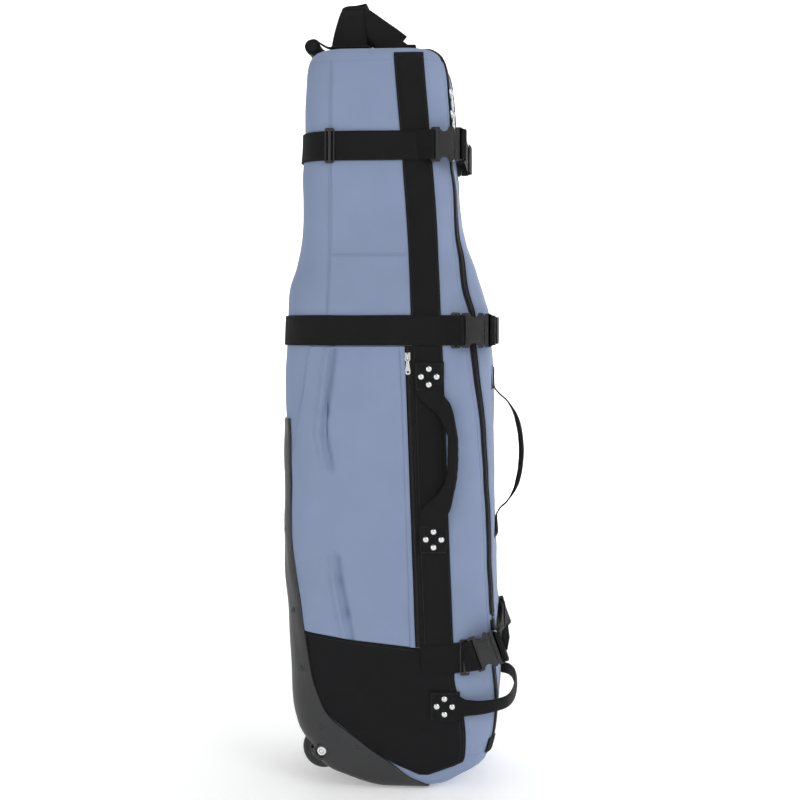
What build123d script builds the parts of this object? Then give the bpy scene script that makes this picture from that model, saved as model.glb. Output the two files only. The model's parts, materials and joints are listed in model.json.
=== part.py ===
"""Wheeled golf travel case, standing upright on its moulded base.

Frame: +Z up, the front flap faces -Y, the wheels are at the back (+Y), X runs left to right.
Every node is written as parts/NODE.step in millimetres.
"""

import math
import os

from build123d import *

# ---------------------------------------------------------------- driving dimensions
SHIFT_Y = 23.0  # moves the whole case so that its box is centred on the Z axis
WALL = 4.0  # padded fabric wall
BASE_WALL = 3.0  # moulded base
SEAM_GAP = 0.6  # each side of the zipped seam round the flap
WEBBING = 52.0  # width of the heavy webbing
WEBBING_T = 2.0
STRAP_LOW, STRAP_HIGH = 2.4, 4.4  # the girth straps run over the side webbing
TAPE_T = 1.4  # zip tape and coil
TAPE_W = 6.0
POCKET_TAPE_W = 9.0
PATCH_LOW, PATCH_HIGH = 2.4, 4.4

# height, half width, front reach (-Y), back reach (+Y), front corner radius, back corner radius
SECTIONS = [
    (3, 146, 98, 12, 34, 28),
    (20, 158, 130, 66, 40, 30),
    (42, 161, 170, 114, 62, 32),
    (60, 162, 180, 124, 74, 34),
    (104, 165, 190, 152, 75, 38),
    (144, 165, 193, 162, 75, 44),
    (268, 165, 190, 173, 75, 58),
    (500, 165, 185, 184, 75, 70),
    (700, 165, 181, 184, 75, 72),
    (806, 165, 178, 182, 75, 72),
    (860, 154, 163, 180, 72, 70),
    (910, 141, 149, 167, 66, 66),
    (960, 131, 130, 160, 60, 62),
    (1030, 129, 118, 157, 59, 60),
    (1225, 123, 106, 153, 58, 58),
    (1262, 118, 101, 150, 52, 52),
    (1285, 108, 92, 143, 46, 46),
    (1300, 88, 72, 124, 36, 36),
]
BOTTOM_Z, TOP_Z = SECTIONS[0][0], SECTIONS[-1][0]
TUB_Z, CROWN_Z = 104, 1225  # joins of the bottom tub, the tube and the crown
SIDE_X = 165.0  # the flat sides below the waist

# flap: its outline seen from the front, as height and half width
FLAP_EDGE = [
    (296, 123), (600, 133), (780, 149), (860, 136), (900, 124), (960, 101), (1025, 88), (CROWN_Z, 78),
]
HINGE_Z = 296
LOWER_EDGE = ((60, 106), (HINGE_Z, 123))  # the same seam below the hinge
FLAP_TOP_BACK = -66.0  # where the zip crosses the top
FLAP_TOP_RADIUS = 30.0
BACK_PANEL_Y = 102.0

# girth straps: middle height at the socket, ends of the socket and plug along Y, rise to the front in degrees
BUCKLES = {
    "top": dict(z=1120.0, socket=(-78.0, -119.0), plug_end=-137.0, tilt=0.0),
    "mid": dict(z=795.0, socket=(-132.0, -172.0), plug_end=-188.0, tilt=0.0),
    "bottom": dict(z=237.0, socket=(-152.0, -190.0), plug_end=-206.0, tilt=20.0),
}
BOTTOM_STRAP_LINE = [(-62, 225), (-121, 230)]  # (y, z) of the rear length's middle, behind the socket
BUCKLE_T = 13.0
BUCKLE_H = 60.0
PRONG_IN = 26.0
SOCKET_BORE, SOCKET_BORE_H = 3.6, 23.0  # half thickness and half height of the socket's inside
WINDOW = (9.0, 25.0)  # open sides of the socket, from its mouth
STRAP_SLOT_H = 27.0
PRONG_T, PRONG_Z, PRONG_HALF, BARB_HALF = 2.6, 12.0, 4.0, 6.5
ADJUSTERS = (("top", 101.0), ("mid", -116.0))  # (girth strap, y)

SIDE_WEBBING_LINE = [(247, -93), (430, -85), (700, -76), (850, -69), (1115, -51), (1285, -36)]
POCKET_ZIP = ((245, -57), (750, -39))  # (height, y) at two points
POCKET_TOP, POCKET_T = 767, 3.0
POCKET_SLIDER_Z = 750.0
POCKET_BACK = [(138.5, 273), (145, 321), (152, 364), (161, 451), (164, 560), (150, 640), (132, POCKET_TOP)]
BOOT_T = 1.6
BOOT_TOP = [(138.5, 272), (60, 258), (-50, 246), (-120, 246)]
BOOT_FRONT = [(-120, 196), (-136, 128), (-139, 88), (-136, 52), (-105, 38), (-74, 26)]
BOOT_BACK = [(-45, 33), (-13, 46), (26, 72), (61, 99), (98, 127), (112, 153), (127, 200), (134, 242)]
BASE_TOP = 640
BASE_EDGE = [  # front edge of the moulded base, as (y, z)
    (300, BASE_TOP), (170, BASE_TOP), (164, 451), (153, 364), (146, 321), (140, 278), (135, 242), (128, 200),
    (113, 153), (98, 125), (61, 97), (26, 70), (-13, 44), (-43, 21), (-73, 6), (-90, -10), (300, -10),
]
BASE_STUDS = ((176, 560), (175, 445), (160, 305), (147, 205), (112, 105), (46, 72))  # (y, z)
STUD_R, STUD_RISE = 4.0, 1.6
SKID_X = (24, 48)  # two moulded skids under the base, level with its flat underside
SKID_LINE = [(-40, 0), (84, 0), (92, 8), (92, 44), (-40, 44)]  # (y, z)
PATCHES = ((715, -76), (434, -84), (147, -103))  # (z, y) of the stitched handle patches
PATCH_HALF = 26.0
RIVET_R, RIVET_H, RIVET_SPREAD = 5.3, 2.6, 13.5

TAB_T, TOP_HANDLE_RISE = 2.4, 76.0
REAR_GRIP = (142.0, 1308.0)
PAD_T, INNER_STRAP_Z = 11.0, 640.0

WHEEL_Y, WHEEL_Z, WHEEL_X = 112.0, 62.0, 118.0
WHEEL_R, WHEEL_W = 37.0, 24.0
HOUSING_R, HOUSING_WALL, HOUSING_HALF = 40.0, 2.5, 16.0
HUB_R = 26.0
AXLE_POCKET_R = 10.0
CHEEK_R = 13.0
AXLE_R, BEARING_R, BEARING_W = 4.0, 11.0, 7.0
RUN_GAP = 0.05

os.makedirs("parts", exist_ok=True)


def save(name, *solids):
    """Writes one node from one or more closed solids."""
    flat = [s for shape in solids for s in (shape.solids() if hasattr(shape, "solids") else [shape])]
    placed = [s.moved(Location((0, SHIFT_Y, 0))) for s in flat]
    export_step(placed[0] if len(placed) == 1 else Compound(placed), f"parts/{name}.step")


def mirrored(shape):
    return mirror(shape, about=Plane.YZ)


# ---------------------------------------------------------------- the case's outer form
def section_at(z):
    """The plan section at a height, straight between the listed ones."""
    for low, high in zip(SECTIONS, SECTIONS[1:]):
        if low[0] <= z <= high[0]:
            t = (z - low[0]) / (high[0] - low[0])
            return [a + (b - a) * t for a, b in zip(low[1:], high[1:])]
    raise ValueError(z)


def plan_wire(z, z_out, grow):
    half, front, back, r_front, r_back = section_at(z)
    half, front, back = half + grow, front + grow, back + grow
    r_front, r_back = r_front + grow, r_back + grow
    diag = math.sqrt(0.5)

    def corner(sx, sy, reach, r):
        cx, cy = sx * (half - r), sy * (reach - r)
        side = (sx * half, cy)
        end = (cx, sy * reach)
        return side, (cx + sx * r * diag, cy + sy * r * diag), end

    fl, bl = corner(-1, -1, front, r_front), corner(-1, 1, back, r_back)
    fr, br = corner(1, -1, front, r_front), corner(1, 1, back, r_back)
    at = lambda p: (p[0], p[1], z_out)
    edges = [
        Line(at(fl[2]), at(fr[2])),
        ThreePointArc(at(fr[2]), at(fr[1]), at(fr[0])),
        Line(at(fr[0]), at(br[0])),
        ThreePointArc(at(br[0]), at(br[1]), at(br[2])),
        Line(at(br[2]), at(bl[2])),
        ThreePointArc(at(bl[2]), at(bl[1]), at(bl[0])),
        Line(at(bl[0]), at(fl[0])),
        ThreePointArc(at(fl[0]), at(fl[1]), at(fl[2])),
    ]
    return Wire(edges)


def form(z_low, z_high, grow=0.0):
    """A solid of the case's form between two heights, grown outwards by grow."""
    heights = [z_low] + [s[0] for s in SECTIONS if z_low < s[0] < z_high] + [z_high]
    wires = []
    for z in heights:
        z_out = z
        if z == BOTTOM_Z:
            z_out = z - grow
        elif z == TOP_Z:
            z_out = z + grow
        wires.append(plan_wire(z, z_out, grow))
    return Solid.make_loft(wires, ruled=True)


def skin(low, high, z_low, z_high):
    """A layer that follows the case between two outward growths and two heights."""
    return form(z_low, z_high, high) - form(z_low, z_high, low)


def surface_y(z, x, grow=0.0):
    """y of the front face at a height and an x."""
    half, front, back, r_front, r_back = section_at(z)
    half, front, r = half + grow, front + grow, r_front + grow
    over = abs(x) - (half - r)
    return -front if over <= 0 else -(front - r) - math.sqrt(max(r * r - over * over, 0))


def side_prism(points, x_low, x_high):
    """Extrudes an outline of (y, z) points along X."""
    face = make_face(Polyline([(x_low, y, z) for y, z in points], close=True))
    return extrude(face, amount=x_high - x_low, dir=(1, 0, 0))


def front_prism(points, y_low, y_high):
    """Extrudes an outline of (x, z) points along Y."""
    face = make_face(Polyline([(x, y_low, z) for x, z in points], close=True))
    return extrude(face, amount=y_high - y_low, dir=(0, 1, 0))


def block(x0, x1, y0, y1, z0, z1):
    return Pos((x0 + x1) / 2, (y0 + y1) / 2, (z0 + z1) / 2) * Box(x1 - x0, y1 - y0, z1 - z0)


def x_rod(x0, x1, y, z, r):
    return Pos((x0 + x1) / 2, y, z) * Rot(0, 90, 0) * Cylinder(r, x1 - x0)


def flap_cutter(grow, z_low=HINGE_Z):
    """Everything in front of the zipped seam, with the seam moved outwards by grow."""
    edge = [(x + grow, z) for z, x in FLAP_EDGE]
    edge[0] = (edge[0][0], z_low)
    outline = edge + [(-x, z) for x, z in reversed(edge)]
    lower = front_prism(outline, -300, -60)
    half = FLAP_EDGE[-1][1] + grow
    back = FLAP_TOP_BACK + grow
    plan = Pos(0, (back - 300) / 2) * Rectangle(2 * half, back + 300)
    plan = fillet(plan.vertices().sort_by(Axis.Y)[-2:], FLAP_TOP_RADIUS)
    upper = Pos(0, 0, CROWN_Z) * extrude(plan, amount=TOP_Z + 40 - CROWN_Z)
    return lower + upper


# ---------------------------------------------------------------- fabric panels
def housing_space(side, grow=0.0):
    x0 = side * WHEEL_X - HOUSING_HALF - HOUSING_WALL - grow
    x1 = side * WHEEL_X + HOUSING_HALF + HOUSING_WALL + grow
    return x_rod(x0, x1, WHEEL_Y, WHEEL_Z, HOUSING_R + HOUSING_WALL + grow)


def axle_pocket(side):
    reach = HOUSING_HALF + HOUSING_WALL + 8
    return x_rod(side * WHEEL_X - reach, side * WHEEL_X + reach, WHEEL_Y, WHEEL_Z, AXLE_POCKET_R)


def make_panels():
    tub = form(BOTTOM_Z, TUB_Z) - form(BOTTOM_Z, TUB_Z, -WALL)
    for side in (-1, 1):
        tub -= housing_space(side) + axle_pocket(side)
    save("bottom_tub", tub)

    tube = skin(-WALL, 0, TUB_Z, CROWN_Z)
    crown = form(CROWN_Z, TOP_Z) - form(CROWN_Z, TOP_Z, -WALL)
    open_space = flap_cutter(SEAM_GAP)
    back = tube & block(-400, 400, BACK_PANEL_Y, 400, 0, 1400)
    save("back_panel", back)
    rest = (tube & block(-400, 400, -400, BACK_PANEL_Y, 0, 1400)) - open_space
    (z0, x0), (z1, x1) = LOWER_EDGE
    lower_front = front_prism([(-x0, z0), (x0, z0), (x1, z1), (-x1, z1)], -400, 0)
    left = (rest & block(-400, 0, -400, 400, 0, 1400)) - lower_front
    save("left_side_panel", left)
    save("right_side_panel", mirrored(left))
    save("lower_front_panel", rest & lower_front)
    save("top_panel", crown - open_space)

    flap_space = flap_cutter(-SEAM_GAP)
    flap = (skin(-WALL, 0, HINGE_Z + 1, CROWN_Z) & flap_space) + (crown & flap_space)
    save("front_flap", flap)


# ---------------------------------------------------------------- moulded base and wheels
def corner_stud(y, z):
    """A low stud on the back left corner of the base, square to the corner in plan."""
    half, _, back, _, r = section_at(z)
    over = max(y - (back - r), 0)
    turn = math.asin(over / (r + BASE_WALL))
    foot = Vector(-(half - r) - (r + BASE_WALL) * math.cos(turn), y, z)
    plane = Plane(origin=foot, z_dir=Vector(-math.cos(turn), math.sin(turn), 0))
    return plane * Cylinder(STUD_R, 2 * STUD_RISE) - form(BOTTOM_Z, BASE_TOP, BASE_WALL)


def make_base():
    shell = form(BOTTOM_Z, BASE_TOP, BASE_WALL) - form(BOTTOM_Z, BASE_TOP)
    shell &= side_prism(BASE_EDGE, -300, 300)
    skid = side_prism(SKID_LINE, *SKID_X) - form(BOTTOM_Z, BASE_TOP)
    shell += skid + mirrored(skid)
    for side in (-1, 1):
        shell -= housing_space(side) + axle_pocket(side)
    save("moulded_base", shell)

    keep = form(BOTTOM_Z, 268, BASE_WALL)
    housings = []
    for side, name in ((-1, "left"), (1, "right")):
        middle, wall = side * WHEEL_X, HOUSING_HALF + HOUSING_WALL
        inner = x_rod(middle - HOUSING_HALF, middle + HOUSING_HALF, WHEEL_Y, WHEEL_Z, HOUSING_R)
        bore = x_rod(middle - 30, middle + 30, WHEEL_Y, WHEEL_Z, AXLE_R + RUN_GAP)
        cheeks = x_rod(middle - wall, middle + wall, WHEEL_Y, WHEEL_Z, CHEEK_R)
        housing = ((housing_space(side) & keep) + cheeks) - inner - bore
        housings.append(housing)
        make_wheel(side, name)
    save("wheel_housings", *housings)
    axle, nut, washers = axle_parts(-1)
    save("wheel_axles", axle, mirrored(axle))
    save("wheel_nuts_and_washers", nut, *washers, mirrored(nut), *[mirrored(w) for w in washers])

    studs = [s for y, z in BASE_STUDS for s in corner_stud(y, z).solids()]
    save("base_rivets", *studs, *[mirrored(s) for s in studs])


def make_wheel(side, name):
    at = lambda x0, x1, r: x_rod(side * WHEEL_X + x0, side * WHEEL_X + x1, WHEEL_Y, WHEEL_Z, r)
    half = WHEEL_W / 2
    tyre = at(-half, half, WHEEL_R)
    tyre = fillet(tyre.edges().filter_by(GeomType.CIRCLE), 6) - at(-half, half, HUB_R)
    hub = at(-half + 1, half - 1, HUB_R) - at(-half, half, BEARING_R)
    for k in range(5):
        turn = math.radians(72 * k)
        y, z = WHEEL_Y + 18.5 * math.cos(turn), WHEEL_Z + 18.5 * math.sin(turn)
        hub -= x_rod(side * WHEEL_X - half, side * WHEEL_X + half, y, z, 4)
    rings = []
    for x0 in (-half + 1, half - 1 - BEARING_W):
        rings.append(at(x0, x0 + BEARING_W, BEARING_R) - at(x0, x0 + BEARING_W, AXLE_R + RUN_GAP))
    gap = half - 1 - BEARING_W
    spacer = at(-gap, gap, 6) - at(-gap, gap, AXLE_R + RUN_GAP)
    save(f"wheel_tyre_{name}", tyre)
    save(f"wheel_hub_{name}", hub)
    save(f"wheel_bearings_{name}", *rings, spacer)


def axle_parts(side):
    """Bolt, nut and the washers between the hub and the housing's cheeks."""
    at = lambda x0, x1, r: x_rod(side * WHEEL_X + x0, side * WHEEL_X + x1, WHEEL_Y, WHEEL_Z, r)
    half = WHEEL_W / 2
    wall = HOUSING_HALF + HOUSING_WALL
    shaft = at(-wall - 9, wall + 9, AXLE_R)
    outer = (wall, wall + 5) if side > 0 else (-wall - 5, -wall)
    inner = (-wall - 6.5, -wall) if side > 0 else (wall, wall + 6.5)
    shaft &= block(-400, 400, 0, 400, 0, 200) & at(min(inner[0], outer[0]), max(inner[1], outer[1]), 20)
    head = at(*outer, 7)
    washers = []
    for x0, x1 in ((-HOUSING_HALF, -half + 1 - 0.3), (half - 1 + 0.3, HOUSING_HALF)):
        washers.append(at(x0, x1, 6.5) - at(x0, x1, AXLE_R))
    hexagon = extrude(RegularPolygon(7.5, 6), amount=inner[1] - inner[0])
    nut = Pos(side * WHEEL_X + inner[0], WHEEL_Y, WHEEL_Z) * Rot(0, 90, 0) * hexagon
    return shaft + head, nut - at(-40, 40, AXLE_R), washers


# ---------------------------------------------------------------- boots, pockets and side webbing
def line_strip(line, width):
    """Outline, as (y, z), of a strip of even width that follows (z, y) points."""
    ahead = [(y - width / 2, z) for z, y in line]
    behind = [(y + width / 2, z) for z, y in line]
    return ahead + behind[::-1]


def zip_y(z):
    """y of the side pocket's zip at a height."""
    (z0, y0), (z1, y1) = POCKET_ZIP
    return y0 + (y1 - y0) * (z - z0) / (z1 - z0)


def make_sides():
    low_z, high_z = BOOT_TOP[-1][1] + 1, SIDE_WEBBING_LINE[-1][0]
    boot = skin(0, BOOT_T, 24, BOOT_TOP[0][1]) & side_prism(BOOT_FRONT + BOOT_BACK + BOOT_TOP, -300, 0)
    save("boots", boot, mirrored(boot))

    boot_y, boot_z = BOOT_TOP[1]
    outline = [(zip_y(POCKET_TOP) + 5, POCKET_TOP), (zip_y(low_z) + 5, low_z), (boot_y, boot_z + 1)]
    pocket = skin(0, POCKET_T, low_z, POCKET_TOP) & side_prism(outline + POCKET_BACK, -300, 0)
    save("side_pockets", pocket, mirrored(pocket))

    coil = [(low_z, zip_y(low_z)), (POCKET_TOP, zip_y(POCKET_TOP))]
    tape = skin(0, TAPE_T, low_z, POCKET_TOP) & side_prism(line_strip(coil, POCKET_TAPE_W), -300, 0)
    save("pocket_zips", tape, mirrored(tape))

    strip = line_strip(SIDE_WEBBING_LINE, WEBBING)
    webbing = skin(0, WEBBING_T, low_z, high_z) & side_prism(strip, -300, 0)
    save("side_webbings", webbing, mirrored(webbing))


# ---------------------------------------------------------------- main zip
def make_main_zip():
    layer = skin(0, TAPE_T, HINGE_Z + 1, CROWN_Z) + (form(CROWN_Z, TOP_Z, TAPE_T) - form(CROWN_Z, TOP_Z))
    case_side = layer & (flap_cutter(SEAM_GAP + TAPE_W) - flap_cutter(SEAM_GAP))
    flap_side = layer & (flap_cutter(-SEAM_GAP) - flap_cutter(-SEAM_GAP - TAPE_W, HINGE_Z - 40))
    save("zip_tape_flap", flap_side)
    low = skin(0, TAPE_T, 60, HINGE_Z - 1)
    (z0, x0), (z1, x1) = LOWER_EDGE
    strip = [(-x0 - TAPE_W, z0), (-x0 + TAPE_W, z0), (-x1 + TAPE_W, z1 - 1), (-x1 - TAPE_W, z1 - 1)]
    ends = low & front_prism(strip, -400, -60)
    save("zip_tape_case", case_side, ends, mirrored(ends))
    tab_outline = [(-124, 62), (-88, 62), (-88, 84), (-124, 92)]
    tab = skin(TAPE_T, TAPE_T + 2, 62, 92) & front_prism(tab_outline, -400, -60)
    save("zip_end_tabs", tab, mirrored(tab))


# ---------------------------------------------------------------- girth straps and buckles
def tilted(name, shape):
    """A buckle's shape turned about the back of its socket, so that it rises to the front."""
    b = BUCKLES[name]
    back, z = b["socket"][0], b["z"]
    return Pos(0, back, z) * Rot(-b["tilt"], 0, 0) * Pos(0, -back, -z) * shape


def bar_at(name):
    """y and z of the plug's strap bar."""
    b = BUCKLES[name]
    reach, turn = b["socket"][0] - b["plug_end"] - 6, math.radians(b["tilt"])
    return b["socket"][0] - reach * math.cos(turn), b["z"] + reach * math.sin(turn)


def strap_path(name):
    """The front length's line in plan, from plug bar to plug bar."""
    x_bar = section_x(name)
    y_bar, _ = bar_at(name)
    x_land = x_bar - 48
    return [(-x_bar, y_bar), (-x_land, y_bar - 1), (x_land, y_bar - 1), (x_bar, y_bar)]


def section_x(name):
    """Middle plane of a buckle, on the side of the case."""
    z = BUCKLES[name]["z"]
    widest = max(section_at(z + dz)[0] for dz in (-WEBBING / 2, 0, WEBBING / 2))
    return widest + 1.0 + BUCKLE_T / 2


def make_buckle(name):
    b = BUCKLES[name]
    x, z = section_x(name), b["z"]
    back, mouth = b["socket"]
    end = b["plug_end"]
    h = BUCKLE_H / 2
    socket = block(-x - BUCKLE_T / 2, -x + BUCKLE_T / 2, mouth, back, z - h, z + h)
    socket = fillet(socket.edges().filter_by(Axis.Y), 3)
    bore = (-x - SOCKET_BORE, -x + SOCKET_BORE)
    socket -= block(*bore, mouth, mouth + PRONG_IN + 3, z - SOCKET_BORE_H, z + SOCKET_BORE_H)
    window = block(*bore, mouth + WINDOW[0], mouth + WINDOW[1], z - BUCKLE_H, z + BUCKLE_H)
    slot = block(-x - BUCKLE_T, -x + BUCKLE_T, back - 7.5, back - 4.5, z - STRAP_SLOT_H, z + STRAP_SLOT_H)
    socket -= window + slot
    plug = block(-x - BUCKLE_T / 2, -x + BUCKLE_T / 2, end, mouth - 0.5, z - h + 1, z + h - 1)
    plug = fillet(plug.edges().filter_by(Axis.Y), 3)
    plug -= block(-x - 4, -x + BUCKLE_T, end + 3.5, end + 8.5, z - STRAP_SLOT_H, z + STRAP_SLOT_H)
    blade = (-x - PRONG_T, -x + PRONG_T)
    for side in (-1, 1):
        z0 = z + side * PRONG_Z
        prong = block(*blade, mouth - 1, mouth + PRONG_IN, z0 - PRONG_HALF, z0 + PRONG_HALF)
        barb = block(*blade, mouth + 12, mouth + 22, z0 - BARB_HALF, z0 + BARB_HALF)
        plug += prong + barb
    plug += block(*blade, mouth - 1, mouth + 16, z - 2.5, z + 2.5)
    return tilted(name, socket), tilted(name, plug)


def rear_strap(name):
    b = BUCKLES[name]
    back, z, half = b["socket"][0] + 0.2, b["z"], WEBBING / 2
    if name != "bottom":
        return skin(STRAP_LOW, STRAP_HIGH, z - half, z + half) & block(-400, 400, back, 400, 0, 1400)
    turn = math.radians(b["tilt"])
    end = [(back + side * half * math.sin(turn), z + side * half * math.cos(turn)) for side in (1, -1)]
    upper = [(y, z_mid + half) for y, z_mid in BOTTOM_STRAP_LINE]
    lower = [(y, z_mid - half) for y, z_mid in BOTTOM_STRAP_LINE]
    outline = upper + end + lower[::-1]
    return skin(STRAP_LOW, STRAP_HIGH, z - 40, z + 30) & side_prism(outline, -300, 300)


def ribbon_plan(points, radius, thick, z0, z1):
    """A strap on edge that follows a line in plan."""
    path = FilletPolyline(*points, radius=radius)
    face = trace(path, line_width=thick)
    return Pos(0, 0, z0) * extrude(face, amount=z1 - z0)


def make_straps():
    sockets = []
    for name in BUCKLES:
        socket, plug = make_buckle(name)
        _, z = bar_at(name)
        save(f"{name}_strap_rear", rear_strap(name))
        sockets += [socket, mirrored(socket)]
        save(f"{name}_buckle_plugs", plug, mirrored(plug))
        band = ribbon_plan(strap_path(name), 12, 2.0, z - WEBBING / 2, z + WEBBING / 2)
        save(f"{name}_strap_front", band - plug - mirrored(plug))
    save("buckle_sockets", *sockets)
    rings = []
    for name, y in ADJUSTERS:
        z, x = BUCKLES[name]["z"], section_x(name) - BUCKLE_T / 2 - 1
        ring = block(-x - 8.5, -x - 0.4 - WEBBING_T, y - 6, y + 6, z - 31, z + 31)
        ring -= skin(STRAP_LOW - 0.1, STRAP_HIGH + 0.1, z - 26.5, z + 26.5)
        rings += [ring, mirrored(ring)]
    save("strap_adjusters", *rings)


# ---------------------------------------------------------------- handles
def rivets_at(y, z, x_face):
    found = []
    for dy, dz in ((0, RIVET_SPREAD), (0, -RIVET_SPREAD), (RIVET_SPREAD, 0), (-RIVET_SPREAD, 0)):
        stud = x_rod(-x_face - RIVET_H, -x_face, y + dy, z + dz, RIVET_R)
        edge = stud.edges().filter_by(GeomType.CIRCLE).sort_by(Axis.X)[0]
        found.append(fillet(edge, RIVET_H - 0.3))
    return found


def ribbon_in(plane, points, radius, thick, width):
    """A strap whose line lies in a plane and whose width stands across it."""
    path = FilletPolyline(*points, radius=radius)
    face = plane * trace(path, line_width=thick)
    return extrude(face, amount=width / 2, both=True)


SIDE_HANDLE = dict(x=-173.5, y=-78.0, lean=78.0, top=687.0, bottom=462.0, out=38.0, grip=112.0)
FRONT_HANDLE = dict(top=684.0, bottom=466.0, out=44.0)
BOTTOM_HANDLE = dict(y=-125.0, z=147.0, reach=-226.0)


def make_side_handle():
    """Flat webbing that lies forward along the side, with a padded grip."""
    h = SIDE_HANDLE
    lean = math.radians(h["lean"])
    out = Vector(-math.cos(lean), -math.sin(lean), 0)
    plane = Plane(origin=(h["x"], h["y"], 0), x_dir=out, z_dir=out.cross(Vector(0, 0, 1)))
    middle = (h["top"] + h["bottom"]) / 2
    pts = [(-2, h["top"]), (4, h["top"] - 24), (h["out"], h["top"] - 66)]
    pts += [(h["out"], h["bottom"] + 66), (4, h["bottom"] + 24), (-2, h["bottom"])]
    path = FilletPolyline(*pts, radius=22)
    strap = extrude(plane * trace(path, line_width=27), amount=1.6, both=True)
    strap &= extrude(plane * (Pos(h["out"], middle) * Rectangle(2 * h["out"] + 8, 400)), amount=6, both=True)
    grip = extrude(plane * (Pos(h["out"], middle) * Rectangle(34, h["grip"])), amount=6, both=True)
    grip = fillet(grip.edges(), 5) - strap
    return strap, grip


def make_handles():
    strap, grip = make_side_handle()
    for side, name in ((-1, "left"), (1, "right")):
        turn = (lambda s: s) if side < 0 else mirrored
        save(f"side_handle_strap_{name}", turn(strap))
        save(f"side_handle_grip_{name}", turn(grip))
    patch_face = SIDE_X + PATCH_HIGH
    patches, studs = [], []
    for z, y in PATCHES:
        reach = (y - PATCH_HALF, y + PATCH_HALF, z - PATCH_HALF, z + PATCH_HALF)
        patches.append(block(-patch_face, -SIDE_X - PATCH_LOW, *reach))
        studs += rivets_at(y, z, patch_face)
    save("handle_patches", *patches, *[mirrored(p) for p in patches])
    save("handle_rivets", *studs, *[mirrored(s) for s in studs])

    f = FRONT_HANDLE
    y0 = surface_y(f["bottom"], 0) - 7.5
    plane = Plane(origin=(0, y0, 0), x_dir=(0, -1, 0), z_dir=(-1, 0, 0))
    pts = [(0, f["top"]), (f["out"] * 0.3, f["top"] - 14), (f["out"] * 0.8, f["top"] - 50)]
    pts += [(f["out"] - 4, (f["top"] + f["bottom"]) / 2)]
    pts += [(f["out"] * 0.8, f["bottom"] + 50), (f["out"] * 0.3, f["bottom"] + 14), (0, f["bottom"])]
    shape = [(8, f["top"] + 10), (8, f["top"]), (14, f["top"] - 18)]
    shape += [(14, f["bottom"] + 18), (8, f["bottom"]), (8, f["bottom"] - 10)]
    taper = front_prism(shape + [(-x, z) for x, z in reversed(shape)], -400, 0)
    save("front_handle_strap", ribbon_in(plane, pts, 8, 5.0, 28.0) & taper)
    pads = []
    for z in (f["top"] + 3, f["bottom"] - 43):
        pads.append(skin(0.2, 2.6, z, z + 40) & block(-24, 24, -400, 0, 0, 1400))
    save("front_handle_patches", *pads)

    b = BOTTOM_HANDLE
    x0 = SIDE_X + 6.5
    half = [(-x0, b["y"] - 8), (-x0 + 2, -168), (-x0 + 50, b["reach"] + 12), (-30, b["reach"] + 2.5)]
    loop = half + [(-x, y) for x, y in reversed(half)]
    save("bottom_handle_strap", ribbon_plan(loop, 14, 5.0, b["z"] - 13, b["z"] + 13))


# ---------------------------------------------------------------- top handle and rear grip
def arch(drop):
    """A webbing arch across the case, seen from the front, as thick as the webbing."""
    z = TOP_Z + TAB_T
    top = z + TOP_HANDLE_RISE - drop
    pts = [(-60 + drop, z), (-54 + drop, z + 26), (-38, top), (38, top), (54 - drop, z + 26), (60 - drop, z)]
    path = FilletPolyline(*pts, radius=10)
    face = Plane.XZ * trace(path, line_width=3.0)
    return extrude(face, amount=200, both=True) & block(-90, 90, -200, 200, z, z + 90)


def make_top_handles():
    z = TOP_Z + TAB_T
    top = z + TOP_HANDLE_RISE
    rear = [(42, z), (102, z), (92, z + 40), (88, top + 5), (48, top + 5)]
    front = [(-42, z), (6, z), (86, top - 12), (86, top + 2), (48, top + 2)]
    rear_loop = arch(0.0) & side_prism(rear, -90, 90)
    front_loop = arch(4.0) & side_prism(front, -90, 90)
    wrap = Pos(0, 68, top - 2) * Box(74, 50, 24)
    wrap = fillet(wrap.edges(), 8)
    save("top_handle_wrap", wrap - rear_loop - front_loop)
    save("top_handle_straps", rear_loop, front_loop)
    tabs = []
    for y0, y1 in ((38, 106), (-46, 10)):
        for x0, x1 in ((-74, -46), (46, 74)):
            tabs.append(block(x0, x1, y0, y1, TOP_Z, z))
    save("top_handle_tabs", *tabs)
    grip_y, grip_z = REAR_GRIP
    grip = x_rod(-62, 62, grip_y, grip_z, 12)
    grip = fillet(grip.edges().filter_by(GeomType.CIRCLE), 5)
    loops = []
    for x in (-48, 48):
        outline = [(108, TOP_Z + 3), (grip_y, grip_z + 4), (grip_y, grip_z + 1), (108, TOP_Z)]
        loops.append(side_prism(outline, x - 11, x + 11) - form(CROWN_Z, TOP_Z))
    save("rear_grip", grip - loops[0] - loops[1])
    save("rear_grip_loops", *loops)


# ---------------------------------------------------------------- inside
def make_inside():
    pad = skin(-WALL - PAD_T, -WALL - 0.3, 975, CROWN_Z - 2) & block(-400, 400, -60, 400, 0, 1400)
    save("club_head_pad", pad)
    y = section_at(INNER_STRAP_Z)[2] - WALL
    outline = [(-150, y - 74), (-120, y - 20), (-60, y - 1.2), (60, y - 1.2), (120, y - 20), (150, y - 74)]
    path = FilletPolyline(*outline, radius=20)
    strap = Pos(0, 0, INNER_STRAP_Z - 19) * extrude(trace(path, line_width=1.8), amount=38)
    save("inner_club_strap", strap)


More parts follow.
